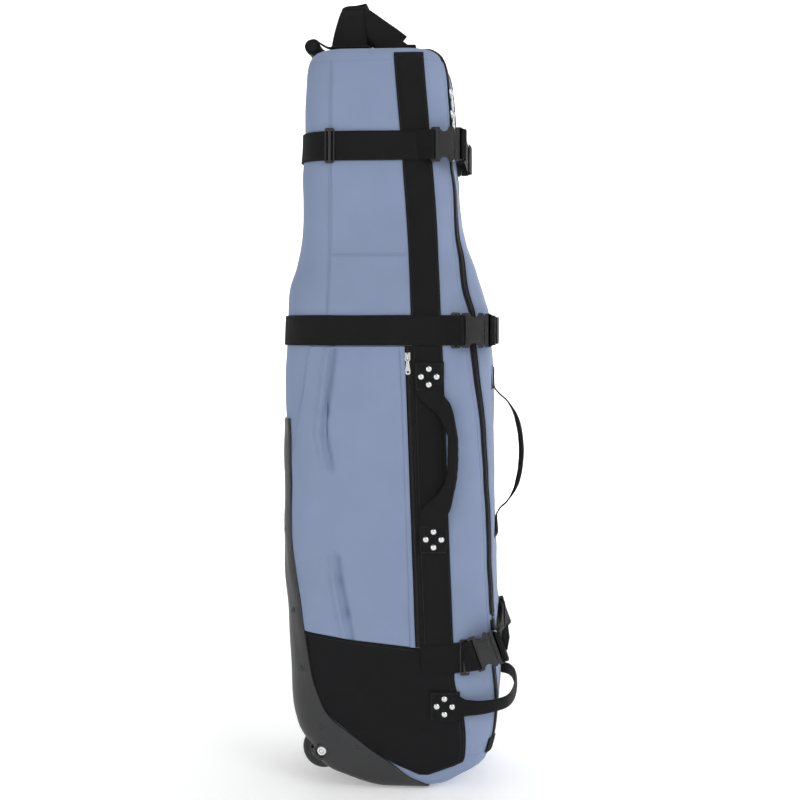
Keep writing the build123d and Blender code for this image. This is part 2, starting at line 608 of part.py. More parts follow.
# ---------------------------------------------------------------- zip sliders and pulls
def slider_and_pull(frame):
    """Slider and pull in a local frame: Z outwards, Y up along the zip, X across it."""
    body = Pos(0, 0, 1.6) * Box(9, 15, 2.4)
    body = fillet(body.edges().filter_by(Axis.Z), 2.5)
    crown = Pos(0, 0, 4.6) * Box(2.4, 12, 4.2) - Pos(0, 0, 4.2) * Box(2.4, 8.4, 2.6)
    pull = Pos(0, -13.6, 4.2) * Box(9, 29, 1.6)
    pull = fillet(pull.edges().filter_by(Axis.Z), 3.2)
    pull -= Pos(0, -4.9, 4.2) * Box(4.6, 8.0, 4)
    pull -= Pos(0, -23, 4.2) * Box(4.2, 4.2, 4)
    return frame * (body + crown), frame * pull


def zip_frame(x, z, rise):
    """Frame of a slider on the main seam at an x and a height."""
    p = Vector(x, surface_y(z, x, rise), z)
    q = Vector(x, surface_y(z - 60, x, rise), z - 60)
    half, front, back, r, _ = section_at(z)
    tilt = math.asin((abs(x) - (half - r)) / r)
    normal = Vector(-math.sin(tilt), -math.cos(tilt), 0)
    up = (p - q).normalized()
    across = up.cross(normal).normalized()
    return Plane(origin=p, x_dir=across, z_dir=across.cross(up))


def make_sliders():
    (z0, x0), (z1, x1) = FLAP_EDGE[-2:]
    seam_x = lambda z: x0 + (x1 - x0) * (z - z0) / (z1 - z0)
    for name, z in (("lower", 1179.0), ("upper", 1217.0)):
        body, pull = slider_and_pull(zip_frame(-seam_x(z) + 0.5, z, TAPE_T + 0.4))
        save(f"main_slider_{name}", body)
        save(f"main_pull_{name}", pull)
    z = POCKET_SLIDER_Z
    (z0, y0), (z1, y1) = POCKET_ZIP
    run = Vector(0, y1 - y0, z1 - z0).normalized()
    normal = Vector(-1, 0, 0)
    frame = Plane(origin=(-SIDE_X - TAPE_T - 0.2, zip_y(z), z), x_dir=run.cross(normal), z_dir=normal)
    body, pull = slider_and_pull(frame)
    for side, name in ((-1, "left"), (1, "right")):
        turn = (lambda s: s) if side < 0 else mirrored
        save(f"pocket_slider_{name}", turn(body))
        save(f"pocket_pull_{name}", turn(pull))


make_panels()
make_base()
make_sides()
make_main_zip()
make_straps()
make_handles()
make_top_handles()
make_inside()
make_sliders()
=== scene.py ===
import json
import math
import random

import bpy
import numpy as np
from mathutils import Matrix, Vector

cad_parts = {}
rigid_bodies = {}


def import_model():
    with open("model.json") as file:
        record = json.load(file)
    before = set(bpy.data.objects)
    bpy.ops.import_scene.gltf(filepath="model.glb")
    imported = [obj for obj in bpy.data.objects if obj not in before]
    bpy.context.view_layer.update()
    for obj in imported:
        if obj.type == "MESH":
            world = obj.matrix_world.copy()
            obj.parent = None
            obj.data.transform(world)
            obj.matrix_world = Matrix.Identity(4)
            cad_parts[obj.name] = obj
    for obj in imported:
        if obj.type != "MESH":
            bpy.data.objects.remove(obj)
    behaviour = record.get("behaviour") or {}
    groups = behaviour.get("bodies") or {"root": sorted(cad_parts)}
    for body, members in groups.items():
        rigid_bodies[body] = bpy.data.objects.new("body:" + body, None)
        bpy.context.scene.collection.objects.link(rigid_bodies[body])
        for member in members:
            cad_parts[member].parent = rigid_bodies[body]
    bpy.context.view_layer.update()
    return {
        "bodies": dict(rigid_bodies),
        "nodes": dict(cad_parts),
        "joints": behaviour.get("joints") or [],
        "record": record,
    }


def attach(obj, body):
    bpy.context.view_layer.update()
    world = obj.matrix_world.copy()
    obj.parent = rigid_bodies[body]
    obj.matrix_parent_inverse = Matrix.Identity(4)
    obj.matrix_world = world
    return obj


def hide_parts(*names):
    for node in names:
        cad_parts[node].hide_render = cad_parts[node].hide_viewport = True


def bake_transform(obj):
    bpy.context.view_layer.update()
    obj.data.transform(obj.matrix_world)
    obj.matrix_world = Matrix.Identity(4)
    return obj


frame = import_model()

CAD_NODES = frame["nodes"]
MM = 0.001
random.seed(7)

# ---------------------------------------------------------------- the case's form
# The same sections as the CAD model, in millimetres: height, half width, reach to the front,
# reach to the back, front corner radius, back corner radius. The first and last close the ends.
SHIFT_Y = 23.0
SECTIONS = [
    (3.4, 1, 44, -42, 1, 1),
    (4, 118, 74, -8, 26, 22),
    (5.5, 146, 102, 20, 36, 28),
    (20, 158.5, 130, 66, 42, 30),
    (42, 161, 170, 114, 62, 32),
    (60, 162, 180, 124, 74, 34),
    (104, 165, 190, 152, 75, 38),
    (144, 165, 193, 162, 75, 44),
    (268, 165, 190, 173, 75, 58),
    (500, 165, 185, 184, 75, 70),
    (700, 165, 181, 184, 75, 72),
    (806, 165, 178, 182, 75, 72),
    (860, 154, 163, 180, 72, 70),
    (910, 141, 149, 167, 66, 66),
    (960, 131, 130, 160, 60, 62),
    (1030, 129, 118, 157, 59, 60),
    (1225, 123, 106, 153, 58, 58),
    (1262, 118, 101, 150, 52, 52),
    (1284, 108, 92, 143, 46, 46),
    (1297, 90, 74, 126, 38, 38),
    (1303, 56, 40, 92, 26, 26),
    (1305, 1, -25, 27, 1, 1),
]
HINGE_Z = 296.0
SEAM = [(30, 100), (60, 106), (296, 123), (600, 133), (780, 149), (860, 136), (900, 124), (960, 101),
        (1025, 88), (1225, 78), (1297, 72)]
SEAM_GAP = 0.8
WHEEL_X, WHEEL_Y, WHEEL_Z = 118.0, 112.0, 62.0
WEBBING_LINE = [(236, -93), (430, -85), (700, -76), (850, -69), (1115, -51), (1290, -35.5)]
WEBBING_W = 52.0
BASE_EDGE = [(-10, -94), (6, -74), (21, -43), (44, -13), (70, 26), (97, 61), (125, 98), (153, 113),
             (200, 128), (242, 135),
             (278, 140), (321, 146), (364, 153), (451, 164), (640, 170)]


def pchip(xs, ys):
    """Smooth curve through points, with no overshoot between them."""
    x, y = np.asarray(xs, float), np.asarray(ys, float)
    h = np.diff(x)
    d = np.diff(y) / h
    m = np.zeros_like(y)
    m[0], m[-1] = d[0], d[-1]
    for i in range(1, len(x) - 1):
        if d[i - 1] * d[i] > 0:
            w1, w2 = 2 * h[i] + h[i - 1], h[i] + 2 * h[i - 1]
            m[i] = (w1 + w2) / (w1 / d[i - 1] + w2 / d[i])

    def at(q):
        q = np.clip(np.asarray(q, float), x[0], x[-1])
        i = np.clip(np.searchsorted(x, q) - 1, 0, len(x) - 2)
        t = (q - x[i]) / h[i]
        a, b = 2 * t**3 - 3 * t**2 + 1, t**3 - 2 * t**2 + t
        return a * y[i] + b * h[i] * m[i] + (1 - a) * y[i + 1] + (t**3 - t**2) * h[i] * m[i + 1]

    return at


def _profile():
    """Curves of each section value against the distance v up the profile."""
    s = np.array(SECTIONS, float)
    step = np.abs(np.diff(s, axis=0))
    v = np.concatenate([[0], np.cumsum(np.hypot(step[:, 0],
                                                (step[:, 1] + step[:, 2] + step[:, 3]) / 3) + 1e-6)])
    return v, [pchip(v, s[:, k]) for k in range(6)]


V_KEYS, _CURVES = _profile()
V_TOP = float(V_KEYS[-1])
_FINE = np.linspace(0, V_TOP, 4000)
_FINE_Z = np.maximum.accumulate(_CURVES[0](_FINE) + np.arange(4000) * 1e-7)


def v_at(z):
    """Profile distance at a height."""
    return np.interp(z, _FINE_Z, _FINE)


def section(v):
    z, half, front, back, rf, rb = [c(v) for c in _CURVES]
    room = np.minimum(half, (front + back) / 2)
    return z, half, front, back, np.minimum(rf, room), np.minimum(rb, room)


def half_girth(v):
    """Distance round the section from the middle of the front to the middle of the back."""
    _, half, front, back, rf, rb = section(v)
    return (half - rf) + rf * math.pi / 2 + (front - rf) + (back - rb) + rb * math.pi / 2 + (half - rb)


def g_at_x(v, x):
    """Girth distance of the point on the front at a distance x from the middle."""
    _, half, _, _, rf, _ = section(v)
    flat = half - rf
    over = np.clip((x - flat) / rf, 0, 1)
    return np.where(x <= flat, x, flat + rf * np.arcsin(over))


def g_at_y(v, y):
    """Girth distance of the point on the side at a y."""
    _, half, front, back, rf, rb = section(v)
    start = half - rf
    side = start + rf * math.pi / 2
    on_front = start + rf * np.arccos(np.clip((-y - (front - rf)) / rf, 0, 1))
    on_side = side + (y + front - rf)
    on_back = side + (front - rf) + (back - rb) + rb * np.arcsin(np.clip((y - (back - rb)) / rb, 0, 1))
    return np.where(y < -(front - rf), on_front, np.where(y > back - rb, on_back, on_side))


def base_point(g, v):
    """Point of the plain form, in millimetres. g is positive to the left (-X) and wraps at the back."""
    g, v = np.broadcast_arrays(np.asarray(g, float), np.asarray(v, float))
    z, half, front, back, rf, rb = section(v)
    whole = half_girth(v)
    g = (g + whole) % (2 * whole) - whole
    side = np.where(g >= 0, -1.0, 1.0)
    d = np.abs(g)
    a = half - rf
    b = a + rf * math.pi / 2
    c = b + (front - rf) + (back - rb)
    e = c + rb * math.pi / 2
    t1 = (d - a) / rf
    t2 = (d - c) / rb
    x = np.select(
        [d < a, d < b, d < c, d < e],
        [d, a + rf * np.sin(t1), half, half - rb + rb * np.cos(t2)],
        default=half - rb - (d - e),
    )
    y = np.select(
        [d < a, d < b, d < c, d < e],
        [-front, -(front - rf) - rf * np.cos(t1), -(front - rf) + (d - b), back - rb + rb * np.sin(t2)],
        default=back,
    )
    return np.stack([side * x, y, z], axis=-1)


def normal_at(g, v):
    """Outward unit normal of the plain form."""
    eps = 1.5
    whole = half_girth(v)
    du = base_point(g + eps, v) - base_point(g - eps, v)
    lo, hi = np.clip(v - eps, 0, V_TOP), np.clip(v + eps, 0, V_TOP)
    dv = base_point(g * half_girth(hi) / whole, hi) - base_point(g * half_girth(lo) / whole, lo)
    n = np.cross(dv, du)
    return n / np.maximum(np.linalg.norm(n, axis=-1, keepdims=True), 1e-9)


# ---------------------------------------------------------------- how the fabric lies
_rng = np.random.RandomState(11)
_WAVES = [(_rng.uniform(-1, 1), _rng.uniform(-1, 1), _rng.uniform(0, 6.28)) for _ in range(26)]


def soft_noise(a, b, scale):
    """Smooth noise about 0, roughly -1 to 1, over two coordinates in millimetres."""
    total = 0
    for i, (p, q, r) in enumerate(_WAVES):
        f = (0.6 + 1.6 * (i % 7) / 6) * 6.28 / scale
        total = total + np.sin((a * p + b * q) * f + r)
    return total / 5.5


def bump(t, width):
    return np.exp(-((t / width) ** 2))


# Long folds in the side pocket: (y, z) of the ends, width, depth
FOLDS = [
    ((90, 768), (104, 654), 5.5, 7.6),
    ((104, 656), (107, 618), 5.5, 9.4),
    ((107, 622), (95, 556), 6.0, 7.2),
    ((84, 404), (80, 360), 5.5, 7.2),
    ((80, 362), (68, 304), 6.0, 8.0),
    ((68, 306), (58, 248), 6.0, 6.6),
    ((118, 545), (121, 430), 14, 1.4),
    ((48, 765), (60, 670), 12, 1.2),
    ((10, 768), (16, 700), 12, 0.9),
]
STRAPS_Z = {"top": 1120.0, "mid": 795.0, "bottom": 228.0}


def drape(g, v):
    """How far the fabric stands out of the plain form, in millimetres."""
    p = base_point(g, v)
    x, y, z = p[..., 0], p[..., 1], p[..., 2]
    gentle = 1.3 * soft_noise(g, v, 210.0) + 0.5 * soft_noise(g + 900, v * 0.7, 90.0)
    for strap_z in STRAPS_Z.values():
        gentle = gentle - 1.6 * bump(z - strap_z, 34.0) + 1.2 * bump(np.abs(z - strap_z) - 62.0, 26.0)
    fade = np.clip((z - 20) / 60, 0, 1) * np.clip((1300 - z) / 60, 0, 1)
    return gentle * fade


def folds(y, z):
    """Creases of the side pocket."""
    depth = 0
    for (y0, z0), (y1, z1), width, deep in FOLDS:
        run = np.array([y1 - y0, z1 - z0], float)
        length = np.hypot(*run)
        run /= length
        along = (y - y0) * run[0] + (z - z0) * run[1]
        across = (y - y0) * run[1] - (z - z0) * run[0]
        ends = np.clip(np.minimum(along + 14, length + 14 - along) / 22, 0, 1)
        ends = ends * ends * (3 - 2 * ends)
        depth = depth + deep * ends * (-bump(across, width) + 0.75 * bump(across + 1.6 * width, width * 1.1))
    return depth


def point(g, v, h=0.0, extra=0.0):
    """World point in metres at a height h (mm) above the draped fabric."""
    g, v = np.broadcast_arrays(np.asarray(g, float), np.asarray(v, float))
    lift = drape(g, v) + h + extra
    p = base_point(g, v) + normal_at(g, v) * np.asarray(lift)[..., None]
    p[..., 1] += SHIFT_Y
    return p * MM


# ---------------------------------------------------------------- mesh helpers
def new_object(name, verts, faces, material, uvs=None, mats=None, smooth=True, extra_mats=()):
    mesh = bpy.data.meshes.new(name)
    mesh.from_pydata([tuple(map(float, p)) for p in verts], [], [tuple(map(int, f)) for f in faces])
    for m in (material, *extra_mats):
        mesh.materials.append(m)
    if mats is not None:
        mesh.polygons.foreach_set("material_index", np.asarray(mats, np.int32))
    if uvs is not None:
        layer = mesh.uv_layers.new(name="UVMap")
        loops = np.zeros(len(mesh.loops), np.int32)
        mesh.loops.foreach_get("vertex_index", loops)
        layer.data.foreach_set("uv", np.asarray(uvs, np.float32)[loops].ravel())
    mesh.polygons.foreach_set("use_smooth", np.full(len(mesh.polygons), smooth))
    mesh.update()
    obj = bpy.data.objects.new(name, mesh)
    bpy.context.scene.collection.objects.link(obj)
    return obj


def steps(length, pitch, edge):
    """Positions 0..1 along a side, with close loops at both ends that round the edge."""
    n = max(2, int(round(length / pitch)))
    inner = np.linspace(0, 1, n + 1)[1:-1]
    ends = [0.0, edge * 0.3 / length, edge / length]
    inner = inner[(inner > ends[-1] * 1.3) & (inner < 1 - ends[-1] * 1.3)]
    return np.array(ends + list(inner) + [1 - e for e in reversed(ends)])


def slab(name, g_low, g_high, v_low, v_high, low, high, material, body, pitch=8.0, edge=1.2, extra=None,
         lining=None, rim=True):
    """A closed layer over a patch of the form. g_low and g_high are functions of v; v_low, v_high may be
    functions of the share across. low and high are heights in mm; extra(y, z) adds to the height."""
    v0 = v_low if callable(v_low) else (lambda s: v_low + 0 * s)
    v1 = v_high if callable(v_high) else (lambda s: v_high + 0 * s)
    mid_v = (float(v0(np.array(0.5))) + float(v1(np.array(0.5)))) / 2
    wide = max(float(g_high(np.array(mid_v)) - g_low(np.array(mid_v))), 4.0)
    tall = max(float(v1(np.array(0.5)) - v0(np.array(0.5))), 4.0)
    s, t = steps(wide, pitch, edge), steps(tall, pitch, edge)
    S, T = np.meshgrid(s, t)
    lo, hi = v0(s), v1(s)
    Vv = lo + (hi - lo) * T
    G = g_low(Vv) + (g_high(Vv) - g_low(Vv)) * S
    ks = np.array([0, 0.72, 1] + [1] * (len(s) - 6) + [1, 0.72, 0])
    kt = np.array([0, 0.72, 1] + [1] * (len(t) - 6) + [1, 0.72, 0])
    K = np.minimum(*np.meshgrid(ks, kt)) if rim else np.ones_like(S)
    thick = high - low
    H = low + thick * (0.35 + 0.65 * K)
    base = base_point(G, Vv)
    add = extra(base[..., 1], base[..., 2]) if extra else 0.0
    top = point(G, Vv, H, add * K if extra else 0.0).reshape(-1, 3)
    bottom = point(G, Vv, low, add * K if extra else 0.0).reshape(-1, 3)
    rows, cols = S.shape
    uv = np.stack([S * wide * MM, T * tall * MM], -1).reshape(-1, 2)
    idx = np.arange(rows * cols).reshape(rows, cols)
    a, b, c, d = idx[:-1, :-1], idx[:-1, 1:], idx[1:, 1:], idx[1:, :-1]
    quads = np.stack([a, d, c, b], -1).reshape(-1, 4)
    n = rows * cols
    under = quads[:, ::-1] + n
    ring = list(idx[0, :]) + list(idx[1:, -1]) + list(idx[-1, -2::-1]) + list(idx[-2:0:-1, 0])
    sides = [(ring[k], ring[(k + 1) % len(ring)], ring[(k + 1) % len(ring)] + n,
              ring[k] + n) for k in range(len(ring))]
    faces = [tuple(q) for q in quads] + [tuple(q) for q in under] + sides
    mats = [0] * len(quads) + [1 if lining else 0] * len(under) + [0] * len(sides)
    obj = new_object(name, np.concatenate([top, bottom]), faces, material, np.concatenate([uv, uv]), mats,
                     extra_mats=(lining,) if lining else ())
    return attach(obj, body) if body else obj


def line_curve(points):
    """y against z, smoothly."""
    return pchip([p[0] for p in points], [p[1] for p in points])


seam_x = line_curve(SEAM)
webbing_y = line_curve(WEBBING_LINE)


def z_of(v):
    return section(v)[0]


def g_seam(v, offset=0.0):
    return g_at_x(v, seam_x(z_of(v))) + offset


def g_side(curve, offset=0.0):
    return lambda v: g_at_y(v, curve(z_of(v)) + offset)


def neg(fn):
    return lambda v: -fn(v)


def round_about(fn):
    """The far side's girth distance, counted on past the back."""
    return lambda v: 2 * half_girth(v) - fn(v)


# ---------------------------------------------------------------- materials
def material(name, color, rough, kind="plain", scale=1000.0, strength=0.3, metallic=0.0, sheen=0.0,
             coat=0.0):
    """kind is plain, weave (cloth), ribs (webbing) or spark (moulded plastic); any other kind gets the same
    noise bump as spark.
    """
    m = bpy.data.materials.new(name)
    m.use_nodes = True
    nodes, links = m.node_tree.nodes, m.node_tree.links
    shader = nodes["Principled BSDF"]
    shader.inputs["Base Color"].default_value = (*color, 1)
    shader.inputs["Roughness"].default_value = rough
    shader.inputs["Metallic"].default_value = metallic
    shader.inputs["Sheen Weight"].default_value = sheen
    shader.inputs["Sheen Roughness"].default_value = 0.4
    shader.inputs["Coat Weight"].default_value = coat
    shader.inputs["Specular IOR Level"].default_value = 0.14 if kind in ("weave", "ribs") else 0.5
    if kind == "plain":
        return m
    coords = nodes.new("ShaderNodeTexCoord")
    space = "UV" if kind in ("weave", "ribs") else "Object"
    bump_node = nodes.new("ShaderNodeBump")
    bump_node.inputs["Distance"].default_value = 0.0004
    bump_node.inputs["Strength"].default_value = strength
    if kind in ("weave", "ribs"):
        waves = []
        for axis, pitch in (("X", 1.0), ("Y", 1.0 if kind == "weave" else 0.35)):
            w = nodes.new("ShaderNodeTexWave")
            w.bands_direction = axis
            w.inputs["Scale"].default_value = scale * pitch
            w.inputs["Distortion"].default_value = 0.6
            w.inputs["Detail"].default_value = 1.0
            links.new(coords.outputs[space], w.inputs["Vector"])
            waves.append(w)
        mix = nodes.new("ShaderNodeMath")
        mix.operation = "MULTIPLY" if kind == "weave" else "ADD"
        links.new(waves[0].outputs["Fac"], mix.inputs[0])
        links.new(waves[1].outputs["Fac"], mix.inputs[1])
        links.new(mix.outputs[0], bump_node.inputs["Height"])
    else:
        noise = nodes.new("ShaderNodeTexNoise")
        noise.inputs["Scale"].default_value = scale
        noise.inputs["Detail"].default_value = 3.0
        links.new(coords.outputs[space], noise.inputs["Vector"])
        links.new(noise.outputs["Fac"], bump_node.inputs["Height"])
    links.new(bump_node.outputs["Normal"], shader.inputs["Normal"])
    tint = nodes.new("ShaderNodeTexNoise")
    tint.inputs["Scale"].default_value = 14.0
    tint.inputs["Detail"].default_value = 6.0
    ramp = nodes.new("ShaderNodeMapRange")
    ramp.inputs["To Min"].default_value = 0.93
    ramp.inputs["To Max"].default_value = 1.07
    shade = nodes.new("ShaderNodeVectorMath")
    shade.operation = "SCALE"
    shade.inputs[0].default_value = color
    links.new(coords.outputs["Object"], tint.inputs["Vector"])
    links.new(tint.outputs["Fac"], ramp.inputs["Value"])
    links.new(ramp.outputs["Result"], shade.inputs["Scale"])
    links.new(shade.outputs["Vector"], shader.inputs["Base Color"])
    return m


CASE_BLUE = (0.240, 0.298, 0.442)
FABRIC = material("case_fabric", CASE_BLUE, 0.78, "weave", 900, 0.22, sheen=0.1)
THREAD_BLUE = material("thread_blue", (0.19, 0.24, 0.355), 0.8)
THREAD_BLACK = material("thread_black", (0.028, 0.028, 0.03), 0.7)
BOOT = material("boot_fabric", (0.0095, 0.0095, 0.0105), 0.74, "weave", 620, 0.5)
WEB = material("webbing", (0.0095, 0.0095, 0.0102), 0.68, "ribs", 560, 0.55)
TAPE = material("zip_tape", (0.0095, 0.0095, 0.0102), 0.7, "weave", 1300, 0.3)
COIL = material("zip_coil", (0.015, 0.015, 0.016), 0.38)
GRIP = material("grip_padding", (0.011, 0.011, 0.012), 0.76, "weave", 800, 0.5)
LINING = material("lining", (0.1, 0.1, 0.105), 0.85, "weave", 1100, 0.25)
FOAM = material("foam_lining", (0.085, 0.085, 0.09), 0.9, "weave", 800, 0.3)
SHELL = material("moulded_plastic", (0.022, 0.022, 0.0235), 0.46, "spark", 1400, 0.35)
BUCKLE = material("buckle_plastic", (0.014, 0.014, 0.015), 0.3, "spark", 900, 0.06)
CHROME = material("bright_metal", (0.76, 0.76, 0.77), 0.16, metallic=1.0)
RUBBER = material("wheel_rubber", (0.018, 0.018, 0.018), 0.55, "spark", 700, 0.2)
HUB = material("wheel_hub", (0.055, 0.055, 0.06), 0.5, "spark", 900, 0.15)
STEEL = material("bearing_steel", (0.55, 0.55, 0.56), 0.28, metallic=1.0)


# ---------------------------------------------------------------- solid helpers
def baked(obj):
    """Applies the modifiers on an object."""
    bpy.context.view_layer.update()
    deps = bpy.context.evaluated_depsgraph_get()
    mesh = bpy.data.meshes.new_from_object(obj.evaluated_get(deps))
    obj.modifiers.clear()
    obj.data = mesh
    return obj


def sharp_shade(obj, angle=38):
    mesh = obj.data
    mesh.polygons.foreach_set("use_smooth", np.ones(len(mesh.polygons), bool))
    mesh.set_sharp_from_angle(angle=math.radians(angle))
    return obj


def bevel(obj, width, segments=3, angle=30):
    mod = obj.modifiers.new("round", "BEVEL")
    mod.width = width * MM
    mod.segments = segments
    mod.limit_method = "ANGLE"
    mod.angle_limit = math.radians(angle)
    mod.harden_normals = False
    return baked(obj)


def place(local, frame):
    """Points given in mm in a frame of (origin, x, y, z) axes, as world metres."""
    o, ax, ay, az = (np.asarray(a, float) for a in frame)
    local = np.asarray(local, float)
    return (o + local[:, :1] * ax + local[:, 1:2] * ay + local[:, 2:] * az) * MM


def plate(name, outline, z0, z1, frame, mat, round_by=0.5, cut=()):
    """An outline of (x, y) points in a frame, z0 to z1 thick, with rounded edges and cut-outs."""
    n = len(outline)
    pts = [(x, y, z0) for x, y in outline] + [(x, y, z1) for x, y in outline]
    faces = [tuple(range(n))[::-1], tuple(range(n, 2 * n))]
    faces += [(k, (k + 1) % n, (k + 1) % n + n, k + n) for k in range(n)]
    obj = new_object(name, place(pts, frame), faces, mat)
    fix_normals(obj)
    for hole in cut:
        other = plate(name + "_cut", hole, z0 - 5, z1 + 5, frame, mat, 0)
        subtract(obj, other)
    if round_by:
        bevel(obj, round_by)
    return sharp_shade(obj)


def fix_normals(obj):
    import bmesh

    bm = bmesh.new()
    bm.from_mesh(obj.data)
    bmesh.ops.recalc_face_normals(bm, faces=bm.faces)
    bm.to_mesh(obj.data)
    bm.free()


def subtract(obj, other):
    mod = obj.modifiers.new("cut", "BOOLEAN")
    mod.operation = "DIFFERENCE"
    mod.solver = "EXACT"
    mod.object = other
    baked(obj)
    bpy.data.objects.remove(other)
    return obj


def rounded(w, h, r, cx=0.0, cy=0.0, n=6):
    """Outline of a rounded rectangle."""
    out = []
    for k, (sx, sy) in enumerate(((1, 1), (-1, 1), (-1, -1), (1, -1))):
        for i in range(n + 1):
            a = math.pi / 2 * (k + i / n)
            out.append((cx + sx * (w / 2 - r) + r * math.cos(a), cy + sy * (h / 2 - r) + r * math.sin(a)))
    return out


def circle(r, cx=0.0, cy=0.0, n=28):
    return [(cx + r * math.cos(2 * math.pi * k / n),
             cy + r * math.sin(2 * math.pi * k / n)) for k in range(n)]


def join(name, objs):
    """One object from several that share a body."""
    objs = [o for o in objs if o]
    with bpy.context.temp_override(active_object=objs[0], object=objs[0], selected_objects=objs,
                                   selected_editable_objects=objs):
        bpy.ops.object.join()
    objs[0].name = name
    return objs[0]


FLAT_PROFILE = [(-1, 0), (-0.985, 0.6), (-0.94, 1), (-0.5, 1), (0, 1), (0.5, 1), (0.94, 1), (0.985, 0.6),
                (1, 0), (0.985, -0.6), (0.94, -1), (0.5,
                                                    -1), (0, -1), (-0.5, -1), (-0.94, -1), (-0.985, -0.6)]
ROUND_PROFILE = [(math.copysign(abs(math.cos(a)) ** 0.75, math.cos(a)),
                  math.copysign(abs(math.sin(a)) ** 0.75, math.sin(a)))
                 for a in [2 * math.pi * k / 20 for k in range(20)]]


def sweep(name, centres, across, half_w, half_t, mat, profile=None, body=None, out=None):
    """A strap through the centres (mm, world). across gives the width's direction at each point."""
    profile = profile or FLAT_PROFILE
    c = np.asarray(centres, float)
    n = len(c)
    across = np.broadcast_to(np.asarray(across, float), c.shape)
    tangent = np.gradient(c, axis=0)
    tangent /= np.linalg.norm(tangent, axis=1, keepdims=True)
    across = across - (across * tangent).sum(1, keepdims=True) * tangent
    across /= np.linalg.norm(across, axis=1, keepdims=True)
    normal = np.cross(tangent, across)
    hw = np.broadcast_to(np.asarray(half_w, float), n)
    ht = np.broadcast_to(np.asarray(half_t, float), n)
    arc = np.concatenate([[0], np.cumsum(np.linalg.norm(np.diff(c, axis=0), axis=1))])
    prof = np.array(profile, float)
    k = len(prof)
    rings = c[:, None] + across[:, None] * (prof[None, :, :1] * hw[:, None, None]) + normal[:, None] * (
        prof[None, :, 1:] * ht[:, None, None])
    verts = rings.reshape(-1, 3) * MM
    faces = []
    for i in range(n - 1):
        for j in range(k):
            a, b = i * k + j, i * k + (j + 1) % k
            faces.append((a, b, b + k, a + k))
    faces += [tuple(range(k))[::-1], tuple((n - 1) * k + j for j in range(k))]
    uv = np.stack([np.broadcast_to(prof[:, 0], (n, k)) * hw[:, None], np.repeat(arc[:, None], k, 1)],
                  -1).reshape(-1, 2) * MM
    obj = new_object(name, verts, faces, mat, uv)
    fix_normals(obj)
    sharp_shade(obj, 50)
    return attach(obj, body) if body else obj


def smooth_path(points, n=40):
    """Points on a smooth curve through the given ones, evenly spaced."""
    p = np.asarray(points, float)
    d = np.concatenate([[0], np.cumsum(np.linalg.norm(np.diff(p, axis=0), axis=1))])
    curves = [pchip(d, p[:, k]) for k in range(p.shape[1])]
    return np.stack([c(np.linspace(0, d[-1], n)) for c in curves], -1)


def rows_on(path, pitch, h):
    """Evenly spaced (position, tangent, normal) in mm along a (g, v) path on the fabric."""
    path = np.asarray(path, float)
    fine = np.linspace(0, len(path) - 1, 60 * len(path))
    g = np.interp(fine, range(len(path)), path[:, 0])
    v = np.interp(fine, range(len(path)), path[:, 1])
    p = point(g, v, h) / MM
    n = normal_at(g, v)
    d = np.concatenate([[0], np.cumsum(np.linalg.norm(np.diff(p, axis=0), axis=1))])
    at = np.arange(pitch / 2, d[-1], pitch)
    pos = np.stack([np.interp(at, d, p[:, k]) for k in range(3)], -1)
    nor = np.stack([np.interp(at, d, n[:, k]) for k in range(3)], -1)
    tan = np.stack([np.interp(at + 0.5, d, p[:, k]) for k in range(3)], -1) - pos
    ok = np.linalg.norm(tan, axis=1) > 0.05
    return frames_of(pos[ok], tan[ok], nor[ok])


def frames_of(pos, tan, nor):
    tan = tan / np.linalg.norm(tan, axis=1, keepdims=True)
    side = np.cross(tan, nor)
    side /= np.linalg.norm(side, axis=1, keepdims=True)
    return pos, tan, side, np.cross(side, tan)


def repeat_shape(name, frames, shape, faces, mat, body):
    """A row of one small shape: shape holds (along, across, out) points in mm."""
    pos, tan, side, nor = frames
    shape = np.asarray(shape, float)
    verts = (pos[:, None] + tan[:, None] * shape[None, :, :1] + side[:, None] * shape[None, :, 1:2]
             + nor[:, None] * shape[None, :, 2:]).reshape(-1, 3) * MM
    k = len(shape)
    all_faces = [tuple(i * k + q for q in f) for i in range(len(pos)) for f in faces]
    obj = new_object(name, verts, all_faces, mat)
    fix_normals(obj)
    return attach(obj, body) if body else obj


def bar(length, width, height):
    """A small bar with sloping ends, as points and faces."""
    pts = []
    for a, w, h in ((-0.5, 0.5, 0.2), (-0.35, 1, 1), (0.35, 1, 1), (0.5, 0.5, 0.2)):
        pts += [(a * length, -w * width / 2, 0), (a * length, -w * width / 3, h * height),
                (a * length, w * width / 3, h * height), (a * length, w * width / 2, 0)]
    faces = [(0, 1, 2, 3), (12, 15, 14, 13)]
    for i in range(3):
        b = 4 * i
        faces += [(b, b + 4, b + 5, b + 1), (b + 1, b + 5, b + 6, b + 2), (b + 2, b + 6, b + 7, b + 3),
                  (b + 3, b + 7, b + 4, b)]
    return pts, faces


def stitches(name, path, h, mat, body, length=3.2, pitch=4.4, extra=0.0):
    return repeat_shape(name, rows_on(path, pitch, h + extra), *bar(length, 0.75, 0.45), mat, body)


def world_stitches(name, points, normal, mat, body=None, pitch=4.2, length=3.0):
    """Stitches along straight runs between world points (mm), all facing one way."""
    pos, tan = [], []
    for a, b in zip(points, points[1:]):
        a, b = np.asarray(a, float), np.asarray(b, float)
        run = np.linalg.norm(b - a)
        count = max(1, int(run / pitch))
        for k in range(count):
            pos.append(a + (b - a) * (k + 0.5) / count)
            tan.append((b - a) / run)
    nor = np.broadcast_to(np.asarray(normal, float), (len(pos), 3))
    return repeat_shape(name, frames_of(np.array(pos), np.array(tan), nor), *bar(length, 0.75, 0.45), mat,
                        body)


def both_sides(make):
    """Runs make(side name, sign of g) for the left side and the right side."""
    return make("left", 1.0), make("right", -1.0)


